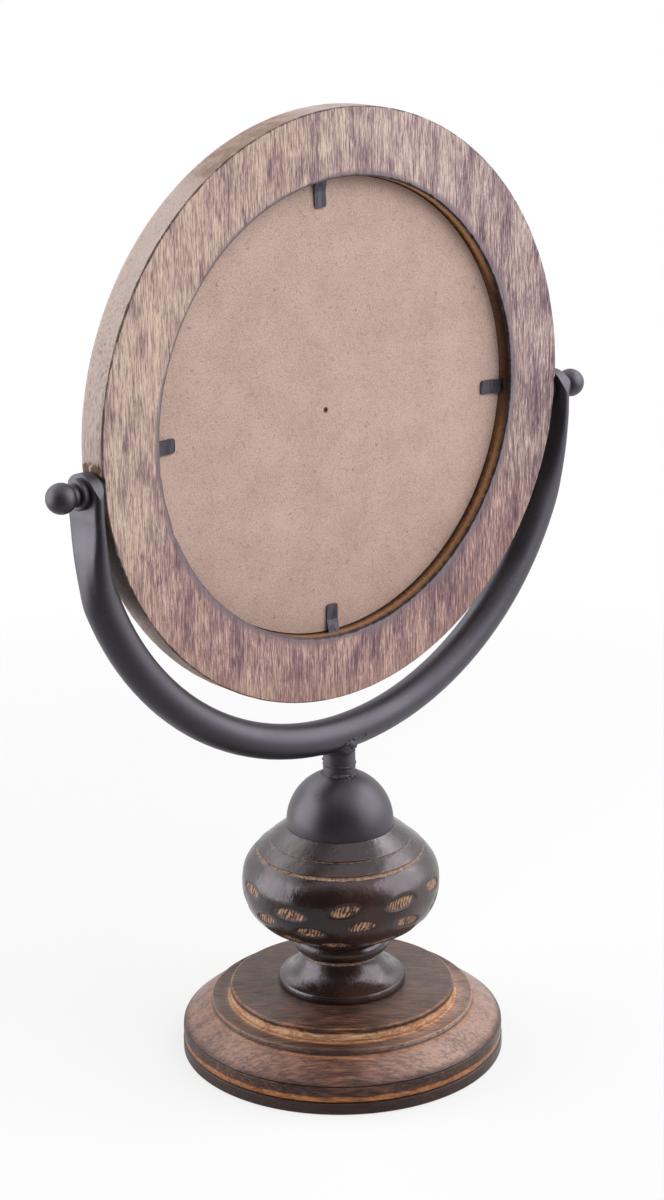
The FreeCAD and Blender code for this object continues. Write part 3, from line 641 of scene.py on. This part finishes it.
# wood grain: stretched noise at four sizes, for streaks, fibres, dark pores and broad clouds
def makeWoodGrain():
    ins = [("Place", "Vector", (0, 0, 0)), ("Stretch", "Vector", (1, 1, 1))]
    tree, start, end = group("woodGrain", ins, ["Streaks", "Fibres", "Pores", "Clouds"])
    place = stretch(tree, start["Place"], start["Stretch"])
    join(tree, noise(tree, place, 1.0, 3.0, 0.6), end["Streaks"])
    join(tree, noise(tree, place, 2.9, 2.0, 0.6), end["Fibres"])
    pores = noise(tree, stretch(tree, place, (1.7, 1.7, 2.6)), 1.3, 1.0, 0.5)
    join(tree, spread(tree, pores, 0.60, 0.70), end["Pores"])
    join(tree, noise(tree, stretch(tree, place, (0.07, 0.07, 0.35)), 1.0, 2.0, 0.5), end["Clouds"])
    return tree


# ragged wear: an edge value from the mesh plus noise, cut off sharply
def makeRaggedWear():
    ins = [("Place", "Vector", (0, 0, 0)), ("Edge", "Float", 0.0), ("Size", "Float", 400.0),
           ("Ragged", "Float", 0.6), ("Start", "Float", 0.5)]
    tree, start, end = group("raggedWear", ins, ["Worn"])
    mottle = noise(tree, start["Place"], start["Size"], 4.0, 0.65)
    rough = sway(tree, mottle, start["Ragged"], start["Edge"])
    above = calc(tree, "SUBTRACT", rough, start["Start"])
    join(tree, spread(tree, above, -0.1, 0.14), end["Worn"])
    return tree


# surface skin: fine specks, a soft cloud for gloss and a small height for the feel of paint or polish
def makeSurfaceSkin():
    ins = [("Place", "Vector", (0, 0, 0)), ("Size", "Float", 900.0)]
    tree, start, end = group("surfaceSkin", ins, ["Specks", "Clouds", "Height"])
    fine = noise(tree, start["Place"], start["Size"], 2.0, 0.5)
    join(tree, fine, end["Height"])
    specks = noise(tree, start["Place"], times(tree, start["Size"], 1.4), 1.0, 0.4)
    join(tree, spread(tree, specks, 0.70, 0.76), end["Specks"])
    join(tree, noise(tree, start["Place"], times(tree, start["Size"], 0.035), 3.0, 0.55), end["Clouds"])
    return tree


woodGrain, raggedWear, surfaceSkin = makeWoodGrain(), makeRaggedWear(), makeSurfaceSkin()


def wornBy(tree, place, label, size, ragged, begin):
    edge = attribute(tree, label)
    return use(tree, raggedWear, Place=place, Edge=edge, Size=size, Ragged=ragged, Start=begin)["Worn"]


def along(tree, place, axis):
    return put(tree, "SeparateXYZ", Vector=place).outputs[axis]


def startMaterial(name, **constants):
    material = bpy.data.materials.new(name)
    material.use_nodes = True
    tree = material.node_tree
    shader = tree.nodes["Principled BSDF"]
    for label, value in constants.items():
        shader.inputs[label.replace("_", " ")].default_value = value
    return material, tree, put(tree, "TexCoord").outputs["Object"]


def finishMaterial(material, colour, rough, height=None, strength=0, distance=0):
    tree = material.node_tree
    sockets = tree.nodes["Principled BSDF"].inputs
    join(tree, colour, sockets["Base Color"])
    join(tree, rough, sockets["Roughness"])
    if height is not None:
        bump = put(tree, "Bump", Height=height, Strength=strength, Distance=distance)
        join(tree, bump.outputs["Normal"], sockets["Normal"])
    return material


# raw ring wood: long beige and mauve streaks, greyer rim, brown and golden rebate wall, burnt edges, and
# painted light: lighter on one side and on top, lit and shaded stretches of the wall
def makeRingWood():
    material, tree, place = startMaterial("ringWood", IOR=1.35)
    grain = use(tree, woodGrain, Place=place, Stretch=(1600, 1600, 95))
    fine = noise(tree, stretch(tree, place, (3400, 3400, 240)), 1.0, 2.0, 0.6)
    broad = noise(tree, stretch(tree, place, (115, 115, 40)), 1.0, 4.0, 0.62)
    pale, upper = attribute(tree, "paintedLitSide"), attribute(tree, "litUpperPart")
    streaks = sway(tree, fine, 0.9, grain["Streaks"])
    tone = sway(tree, broad, 0.5, streaks)
    # painted light: the wood is drawn lighter towards one side
    tone = sway(tree, pale, 0.12, tone)
    # streaks stand out more on the side painted as shaded
    bold = calc(tree, "MULTIPLY_ADD", pale, -0.2, 1.15)
    # painted light: the upper part is drawn lighter
    topLightLift = calc(tree, "MULTIPLY_ADD", upper, 0.065, 0.54)
    tone = sway(tree, tone, bold, topLightLift, 0.53)
    colour = ramp(tree, tone, [
        (0.22, (0.120, 0.074, 0.083)), (0.40, (0.262, 0.174, 0.177)), (0.53, (0.40, 0.272, 0.245)),
        (0.66, (0.61, 0.446, 0.374)), (0.80, (0.75, 0.580, 0.455))])
    # tints: darker in broad patches, redder below, bluer above on the side painted as shaded
    colour = mix(tree, spread(tree, broad, 0.50, 0.36), colour, (0.82, 0.78, 0.87), "MULTIPLY")
    colour = mix(tree, spread(tree, upper, 0.6, 0.0), colour, (1.0, 0.915, 0.94), "MULTIPLY")
    mauve = times(tree, upper, spread(tree, pale, 0.75, 0.45))
    colour = mix(tree, mauve, colour, (0.99, 1.02, 1.11), "MULTIPLY")
    warm = times(tree, attribute(tree, "warmRim"), spread(tree, fine, 0.35, 0.65, 0.2, 0.6))
    colour = mix(tree, warm, colour, (0.38, 0.215, 0.135))
    colour = mix(tree, times(tree, grain["Pores"], 0.45), colour, (0.12, 0.070, 0.068))
    # long dark lines of open grain, fainter on the side painted as lit
    lines = spread(tree, noise(tree, stretch(tree, place, (1250, 1250, 46)), 1.0, 1.0, 0.5), 0.57, 0.67)
    lines = times(tree, lines, spread(tree, pale, 0.0, 1.0, 0.62, 0.30))
    colour = mix(tree, lines, colour, (0.135, 0.086, 0.088))
    # rim: paler above as painted light, with a stained stretch, a scuff, and a dark stretch beside one leg
    # drawn as painted shade of the leg
    # painted light: the rim is drawn paler on its upper part
    high = spread(tree, along(tree, place, "Z"), 0.31, 0.39)
    rimTone = calc(tree, "MULTIPLY_ADD", high, 0.13, tone)
    rimColour = mix(tree, spread(tree, rimTone, 0.36, 0.82), (0.30, 0.222, 0.196), (0.61, 0.492, 0.446))
    patches = spread(tree, noise(tree, place, 120.0, 4.0, 0.65), 0.3, 0.65, 0.35, 1.0)
    stained = times(tree, attribute(tree, "rimStain"), patches)
    rimColour = mix(tree, times(tree, stained, 0.85), rimColour, (0.275, 0.166, 0.116))
    patches = spread(tree, noise(tree, place, 260.0, 3.0, 0.6), 0.32, 0.50)
    scuffed = times(tree, attribute(tree, "rimScuff"), patches)
    scuffColour = mix(tree, spread(tree, fine, 0.35, 0.6), (0.030, 0.015, 0.010), (0.21, 0.085, 0.028))
    rimColour = mix(tree, spread(tree, scuffed, 0.15, 0.65, 0.0, 0.9), rimColour, scuffColour)
    # painted shade of the leg on the rim beside it
    rimColour = mix(tree, times(tree, attribute(tree, "rimLegShade"), 0.88), rimColour, (0.040, 0.028, 0.026))
    colour = mix(tree, attribute(tree, "backFace"), rimColour, colour)
    # rebate wall: colours change from the board out to the back edge. Painted light and shade: the raw wood
    # is drawn in a golden lit copy on some stretches and a brown shaded copy on the rest, dark at the board
    # as painted shade in the corner, and brighter on the upper part as painted light
    rise = sway(tree, noise(tree, place, 520.0, 3.0, 0.6), 0.5, attribute(tree, "wallRise"))
    shadedWallColour = ramp(tree, rise, [
        (0.0, (0.22, 0.105, 0.055)), (0.35, (0.10, 0.046, 0.026)), (0.7, (0.032, 0.017, 0.013))])
    litWallColour = ramp(tree, rise, [
        (0.02, (0.022, 0.012, 0.009)), (0.26, (0.14, 0.064, 0.032)), (0.52, (0.38, 0.202, 0.096)),
        (0.78, (0.26, 0.125, 0.060)), (0.98, (0.022, 0.014, 0.012))])
    # painted light: the golden wall is drawn brighter on the upper part
    litWallColour = mix(tree, upper, litWallColour, (1.75, 1.8, 1.7), "MULTIPLY")
    wallColour = mix(tree, attribute(tree, "litWallSide"), shadedWallColour, litWallColour)
    colour = mix(tree, attribute(tree, "wall"), colour, wallColour)
    # edges: grey haze and burnt line inside, dark line outside; the burnt line is drawn greyer on the side
    # painted as lit
    ragged = sway(tree, streaks, 1.1, attribute(tree, "innerHaze"))
    colour = mix(tree, spread(tree, ragged, 0.30, 0.70, 0.0, 0.85), colour, (0.205, 0.165, 0.192))
    burnt = wornBy(tree, place, "innerEdge", 300.0, 0.5, 0.50)
    burntColour = mix(tree, spread(tree, pale, 0.3, 0.75), (0.022, 0.014, 0.014), (0.17, 0.125, 0.142))
    colour = mix(tree, burnt, colour, burntColour)
    rimLine = wornBy(tree, place, "outerEdge", 150.0, 0.9, 0.56)
    colour = mix(tree, times(tree, rimLine, 0.85), colour, (0.06, 0.038, 0.038))
    rough = spread(tree, streaks, 0.2, 0.8, 0.8, 0.6)
    height = calc(tree, "SUBTRACT", streaks, times(tree, grain["Pores"], 0.5))
    return finishMaterial(material, colour, rough, height, 0.5, 0.0003)


# middle of the small hole at the back of the board
boardHole = (0.0047, -0.0006, 0.3037)


# fibreboard: tan, with short fibres lying in three directions, curled dark hairs, a dark spot at the small
# hole, and painted shade towards the bottom
def makeBoard():
    material, tree, place = startMaterial("fibreboardBack", IOR=1.3)
    skin = use(tree, surfaceSkin, Place=place, Size=1400.0)
    dark, pale = 0.0, 0.0
    for turn, seed in ((25, 0.0), (85, 0.7), (145, 1.9)):
        angles, shift = (0, np.radians(turn), 0), (seed, 0, seed)
        tilted = put(tree, "Mapping", Vector=place, Rotation=angles, Location=shift).outputs["Vector"]
        strands = noise(tree, stretch(tree, tilted, (1500, 400, 260)), 1.0, 1.0, 0.5)
        dark = calc(tree, "MAXIMUM", spread(tree, strands, 0.64, 0.74), dark)
        pale = calc(tree, "MAXIMUM", spread(tree, strands, 0.36, 0.27), pale)
    speckle = sway(tree, skin["Clouds"], 0.35, noise(tree, place, 1700.0, 2.0, 0.7))
    colour = mix(tree, spread(tree, speckle, 0.33, 0.67), (0.448, 0.309, 0.260), (0.626, 0.458, 0.396))
    colour = mix(tree, times(tree, dark, 0.34), colour, (0.27, 0.175, 0.14))
    colour = mix(tree, times(tree, pale, 0.30), colour, (0.70, 0.54, 0.48))
    # a hair runs where a coarse noise passes through its middle value, in broken lengths
    level = calc(tree, "ABSOLUTE", calc(tree, "SUBTRACT", noise(tree, place, 230.0, 1.0, 0.5), 0.5))
    lengths = spread(tree, noise(tree, place, 340.0, 1.0, 0.5), 0.56, 0.66)
    hair = times(tree, spread(tree, level, 0.012, 0.003), lengths)
    colour = mix(tree, times(tree, hair, 0.6), colour, (0.20, 0.125, 0.10))
    # a dark spot at the small hole
    off = vector(tree, "DISTANCE", place, boardHole).outputs["Value"]
    # painted shade: the board is drawn darker towards the bottom
    lowerShade = spread(tree, along(tree, place, "Z"), 0.275, 0.215)
    colour = mix(tree, lowerShade, colour, (0.90, 0.89, 0.88), "MULTIPLY")
    colour = mix(tree, spread(tree, off, 0.0017, 0.0009, 0.0, 0.85), colour, (0.035, 0.016, 0.010))
    rough = spread(tree, skin["Clouds"], 0.3, 0.7, 0.75, 0.9)
    height = calc(tree, "ADD", dark, skin["Height"])
    return finishMaterial(material, colour, rough, height, 0.35, 0.00012)


# satin black paint on steel: uneven gloss above a least roughness, dust specks, brushed-on thickness
def makePaint(name, colour, least, peel, index=1.9):
    material, tree, place = startMaterial(name, IOR=index, Specular_Tint=(0.88, 0.83, 1.0, 1.0))
    skin = use(tree, surfaceSkin, Place=place, Size=1000.0)
    shade = mix(tree, spread(tree, skin["Clouds"], 0.3, 0.7), colour, tuple(1.7 * c for c in colour))
    shade = mix(tree, times(tree, skin["Specks"], 0.35), shade, (0.20, 0.17, 0.15))
    rough = spread(tree, skin["Clouds"], 0.25, 0.75, least, least + 0.14)
    return finishMaterial(material, shade, rough, skin["Height"], 0.4, peel)


# dark lacquer on the column: red-brown clouds, uneven gloss, golden rubbed lines, bare wood in the gouges
# with painted shade at their edges
def makeLacquer():
    tint = (0.95, 0.86, 0.93, 1.0)
    material, tree, place = startMaterial("columnLacquer", IOR=1.72, Specular_Tint=tint)
    grain = use(tree, woodGrain, Place=place, Stretch=(420, 420, 40))
    skin = use(tree, surfaceSkin, Place=place, Size=700.0)
    uneven = noise(tree, place, 170.0, 3.0, 0.55)
    colour = ramp(tree, grain["Clouds"], [
        (0.3, (0.010, 0.005, 0.0045)), (0.5, (0.020, 0.0095, 0.008)), (0.7, (0.044, 0.019, 0.014))])
    colour = mix(tree, times(tree, grain["Pores"], 0.5), colour, (0.012, 0.007, 0.007))
    golden = mix(tree, spread(tree, grain["Fibres"], 0.3, 0.7), (0.20, 0.100, 0.055), (0.62, 0.42, 0.28))
    bare = 0.0
    rubbed = (
        ("boldLine", 0.45, 0.85), ("fineLine", 0.60, 0.5), ("waistLine", 0.5, 0.8),
        ("rubbedEdge", 0.70, 0.85))
    for label, begin, amount in rubbed:
        worn = wornBy(tree, place, label, 420.0, 1.0, begin)
        bare = calc(tree, "MAXIMUM", times(tree, worn, amount), bare)
    colour = mix(tree, bare, colour, golden)
    frayed = noise(tree, place, 420.0, 2.0, 0.6)
    fibre = sway(tree, frayed, 2.4, attribute(tree, "fibres"))
    strand = times(tree, fibre, spread(tree, attribute(tree, "gouge"), 0.35, 1.0))
    # the gouge's outer part is drawn dark brown: partly lacquer left in the cut, partly painted shade in the
    # hollow's edge
    cutWoodAndShade = ramp(tree, strand, [
        (0.08, (0.022, 0.010, 0.008)), (0.32, (0.085, 0.036, 0.020)),
        (0.58, (0.25, 0.115, 0.052)), (0.95, (0.47, 0.285, 0.155))])
    gouge = spread(tree, sway(tree, frayed, 0.5, attribute(tree, "gouge")), 0.10, 0.60)
    colour = mix(tree, gouge, colour, cutWoodAndShade)
    dull = calc(tree, "MAXIMUM", gouge, bare)
    matt = calc(tree, "MULTIPLY_ADD", dull, 0.6, sway(tree, uneven, 0.5, skin["Clouds"]))
    rough = spread(tree, matt, 0.25, 1.1, 0.15, 0.60)
    height = calc(tree, "MULTIPLY_ADD", skin["Height"], 0.10, uneven)
    height = calc(tree, "MULTIPLY_ADD", grain["Pores"], -0.08, height)
    return finishMaterial(material, colour, rough, height, 0.6, 0.0005)


# brown stain on the base: grain along one level direction, open pores, golden and amber worn mouldings,
# painted sheen on the sides and painted shade in the creases
def makeStain():
    tint = (1.0, 0.90, 0.90, 1.0)
    material, tree, place = startMaterial("baseStain", IOR=1.45, Specular_Tint=tint)
    # the grain lies level: coordinates are turned towards it and then laid down
    level = put(tree, "Mapping", Vector=place, Rotation=(0, 0, np.radians(-49))).outputs["Vector"]
    lying = put(tree, "Mapping", Vector=level, Rotation=(np.radians(90), 0, 0)).outputs["Vector"]
    grain = use(tree, woodGrain, Place=lying, Stretch=(900, 900, 95))
    skin = use(tree, surfaceSkin, Place=place, Size=600.0)
    blotch = noise(tree, stretch(tree, lying, (130, 130, 42)), 1.0, 4.0, 0.62)
    blotch = calc(tree, "MULTIPLY_ADD", blotch, 0.68, 0.16)
    tone = sway(tree, grain["Streaks"], 0.95, blotch)
    colour = ramp(tree, tone, [
        (0.30, (0.024, 0.012, 0.010)), (0.48, (0.058, 0.027, 0.020)),
        (0.64, (0.115, 0.052, 0.034)), (0.80, (0.22, 0.105, 0.06))])
    slopeColour = ramp(tree, tone, [
        (0.30, (0.046, 0.019, 0.014)), (0.48, (0.112, 0.046, 0.031)),
        (0.62, (0.22, 0.096, 0.057)), (0.80, (0.38, 0.195, 0.120))])
    colour = mix(tree, attribute(tree, "slope"), colour, slopeColour)
    # paler sides: painted sheen, and on one side wood worn lighter
    fade = times(tree, attribute(tree, "fadeAndSheen"), spread(tree, tone, 0.25, 0.65, 0.35, 0.95))
    colour = mix(tree, fade, colour, (0.43, 0.275, 0.222))
    colour = mix(tree, times(tree, attribute(tree, "band"), 0.75), colour, (0.030, 0.018, 0.016))
    amber = mix(tree, spread(tree, tone, 0.3, 0.7), (0.23, 0.074, 0.022), (0.53, 0.212, 0.068))
    gold = mix(tree, spread(tree, tone, 0.3, 0.7), (0.50, 0.25, 0.120), (0.92, 0.62, 0.40))
    gold = mix(tree, spread(tree, attribute(tree, "plateWear"), 0.35, 0.95), amber, gold)
    # the worn edges are partly a painted highlight on the rounded edges
    worn = (("plateWear", 0.36, 0.92, gold), ("beadWear", 0.6, 0.9, amber), ("edgeWearAndGlint", 0.55, 0.5, amber))
    for label, begin, amount, shade in worn:
        bare = wornBy(tree, place, label, 110.0, 0.95, begin)
        colour = mix(tree, times(tree, bare, amount), colour, shade)
    colour = mix(tree, times(tree, grain["Pores"], 0.5), colour, (0.022, 0.012, 0.011))
    # painted shade in the grooves, creases and cove, and under the column's foot
    colour = mix(tree, times(tree, attribute(tree, "creaseShade"), 0.75), colour, (0.016, 0.010, 0.010))
    rough = spread(tree, skin["Clouds"], 0.25, 0.75, 0.27, 0.44)
    height = calc(tree, "SUBTRACT", times(tree, grain["Fibres"], 0.5), grain["Pores"])
    return finishMaterial(material, colour, rough, height, 0.5, 0.00025)


# bare metals: tone and roughness vary with fine scratches, above a least roughness
def makeMetal(name, dark, pale, least, scratch):
    material, tree, place = startMaterial(name, Metallic=1.0)
    skin = use(tree, surfaceSkin, Place=place, Size=800.0)
    lines = noise(tree, stretch(tree, place, scratch), 1.0, 2.0, 0.6)
    colour = mix(tree, spread(tree, lines, 0.3, 0.7), dark, pale)
    rough = spread(tree, calc(tree, "ADD", skin["Clouds"], lines), 0.6, 1.4, least, least + 0.2)
    return finishMaterial(material, colour, rough, lines, 0.25, 0.00006)


# mirror: bright silver with faint smears in its gloss, and dark paint on its back
def makeMirror():
    material, tree, place = startMaterial("mirrorSilver", Metallic=1.0)
    skin = use(tree, surfaceSkin, Place=place, Size=500.0)
    silver = mix(tree, spread(tree, skin["Clouds"], 0.3, 0.7), (0.86, 0.875, 0.87), (0.90, 0.91, 0.905))
    painted = spread(tree, along(tree, place, "Y"), -0.0038, -0.0037)
    colour = mix(tree, painted, silver, (0.035, 0.034, 0.033))
    smears = spread(tree, skin["Clouds"], 0.45, 0.8, 0.01, 0.05)
    return finishMaterial(material, colour, calc(tree, "MULTIPLY_ADD", painted, 0.55, smears))


finishes = {
    "ringWood": makeRingWood(), "board": makeBoard(), "lacquer": makeLacquer(), "stain": makeStain(),
    "mirror": makeMirror(),
    "paint": makePaint("blackPaint", (0.006, 0.005, 0.006), 0.41, 0.00006),
    "domePaint": makePaint("domePaint", (0.013, 0.011, 0.013), 0.36, 0.00006, 1.76),
    "weldPaint": makePaint("weldPaint", (0.005, 0.004, 0.005), 0.62, 0.0003),
    "plastic": makePaint("blackPlastic", (0.012, 0.012, 0.012), 0.52, 0.00005),
    "pointSteel": makeMetal(
        "pointSteel", (0.047, 0.042, 0.053), (0.108, 0.099, 0.124), 0.42, (900, 900, 120)),
    "zinc": makeMetal("zincPlate", (0.50, 0.51, 0.50), (0.68, 0.68, 0.66), 0.30, (500, 500, 500)),
    "brass": makeMetal("insertBrass", (0.55, 0.38, 0.16), (0.74, 0.54, 0.25), 0.28, (300, 900, 900)),
}
wearing = {
    "ringWood": [frameRing], "lacquer": [column], "stain": [base], "weldPaint": beads,
    "zinc": [rod, "rod_washer", "rod_nut"], "board": ["backing_board"], "mirror": ["mirror_glass"],
    "paint": ["yoke", "yoke_socket", "stem_sleeve", "right_pivot_screw", "left_pivot_screw"],
    "domePaint": ["dome_cap"],
    "plastic": ["right_spacer", "left_spacer"], "brass": ["right_insert", "left_insert"],
    "pointSteel": ["retaining_point_" + side for side in ("top", "right", "bottom", "left")],
}
for finish, pieces in wearing.items():
    for piece in pieces:
        mesh = (nodes[piece] if isinstance(piece, str) else piece).data
        mesh.materials.clear()
        mesh.materials.append(finishes[finish])
print("materials set")


# stage: pale floor that fades into the white world, with soft boxes beside the camera, behind and above
stageForm = {
    "radius": 0.75, "solid": 0.38, "rows": 24, "columns": 96, "drop": 0.0004, "paint": 0.86,
    "shadow": 0.28, "worldLight": 0.17, "dimSide": 42, "dimLight": 0.05, "dimFloor": 0.8,
}
softBoxes = {  # azimuth, elevation, distance, size and power
    "rightBox": (137, 27, 1.3, (1.45, 1.3), 14.5), "leftBox": (-37, 12, 1.2, (1.2, 1.3), 13),
    "backRightBox": (182, 40, 1.5, (0.9, 0.8), 4), "backLeftBox": (276, 40, 1.5, (0.9, 0.8), 4),
    "topBox": (80, 52, 1.3, (1.0, 1.0), 6.6),
}


# rays for which the stage shows as plain white
def seenRays(tree):
    path = put(tree, "LightPath").outputs
    seen = calc(tree, "MAXIMUM", path["Is Camera Ray"], path["Is Glossy Ray"])
    return calc(tree, "MAXIMUM", seen, path["Is Transmission Ray"])


def makeStage(form):
    world = bpy.data.worlds.new("whiteRoom")
    world.use_nodes = True
    tree = world.node_tree
    back = tree.nodes["Background"]
    back.inputs["Color"].default_value = (1, 1, 1, 1)
    # the room is white all round but dim on one side, which the gloss of paint and lacquer picks up
    dimWay = direction(form["dimSide"], 0)
    look = put(tree, "TexCoord").outputs["Generated"]
    towards = vector(tree, "DOT_PRODUCT", look, dimWay).outputs["Value"]
    glossy = put(tree, "LightPath").outputs["Is Glossy Ray"]
    dim = times(tree, glossy, spread(tree, towards, 0.25, 0.75, 0.0, 1 - form["dimLight"]))
    strength = spread(tree, seenRays(tree), 0, 1, form["worldLight"], 1.0)
    join(tree, times(tree, strength, calc(tree, "SUBTRACT", 1.0, dim)), back.inputs["Strength"])
    scene.world = world
    rows, columns = form["rows"], form["columns"]
    reach = np.linspace(0.001, form["radius"], rows)[:, None]
    grid = turned(reach, roundSteps(columns), 0 * reach - form["drop"])
    index = np.arange(rows * columns).reshape(rows, columns)
    beside = np.roll(index, -1, axis=1)
    quads = np.stack([index[:-1], index[1:], beside[1:], beside[:-1]], axis=-1)
    mesh = bpy.data.meshes.new("floor")
    mesh.from_pydata(grid.reshape(-1, 3).tolist(), [], quads.reshape(-1, 4).tolist() + [index[0].tolist()])
    floor = bpy.data.objects.new("floor", mesh)
    scene.collection.objects.link(floor)
    material = bpy.data.materials.new("paleFloor")
    material.use_nodes = True
    tree = material.node_tree
    shader = tree.nodes["Principled BSDF"]
    shader.inputs["Base Color"].default_value = (form["paint"], form["paint"], form["paint"], 1)
    shader.inputs["Roughness"].default_value = 0.9
    place = put(tree, "TexCoord").outputs["Object"]
    # the glow that gloss picks up is dim on the same side as the room
    ahead = vector(tree, "DOT_PRODUCT", place, dimWay).outputs["Value"]
    glossy = put(tree, "LightPath").outputs["Is Glossy Ray"]
    faint = times(tree, glossy, spread(tree, ahead, -0.05, 0.12, 0.0, form["dimFloor"]))
    glow = put(tree, "Emission", Strength=calc(tree, "SUBTRACT", 1.0, faint)).outputs[0]
    white = tree.nodes.new("ShaderNodeMixShader")
    join(tree, times(tree, seenRays(tree), 1 - form["shadow"]), white.inputs[0])
    join(tree, shader.outputs[0], white.inputs[1])
    join(tree, glow, white.inputs[2])
    away = vector(tree, "LENGTH", place).outputs["Value"]
    fade = tree.nodes.new("ShaderNodeMixShader")
    join(tree, spread(tree, away, form["solid"], form["radius"]), fade.inputs[0])
    join(tree, white.outputs[0], fade.inputs[1])
    join(tree, put(tree, "BsdfTransparent").outputs[0], fade.inputs[2])
    join(tree, fade.outputs[0], tree.nodes["Material Output"].inputs["Surface"])
    mesh.materials.append(material)


def makeLights(boxes, aim=Vector((0, 0, 0.2))):
    for name, (azimuth, elevation, distance, size, power) in boxes.items():
        away = direction(azimuth, elevation)
        data = bpy.data.lights.new(name, "AREA")
        data.shape, data.energy = "RECTANGLE", power
        data.size, data.size_y = size
        light = bpy.data.objects.new(name, data)
        light.location = aim + away * distance
        light.rotation_euler = away.to_track_quat("Z", "Y").to_euler()
        light.visible_camera = False
        light.visible_glossy = name != "topBox"
        scene.collection.objects.link(light)


makeStage(stageForm)
makeLights(softBoxes)
print("stage and lights set")
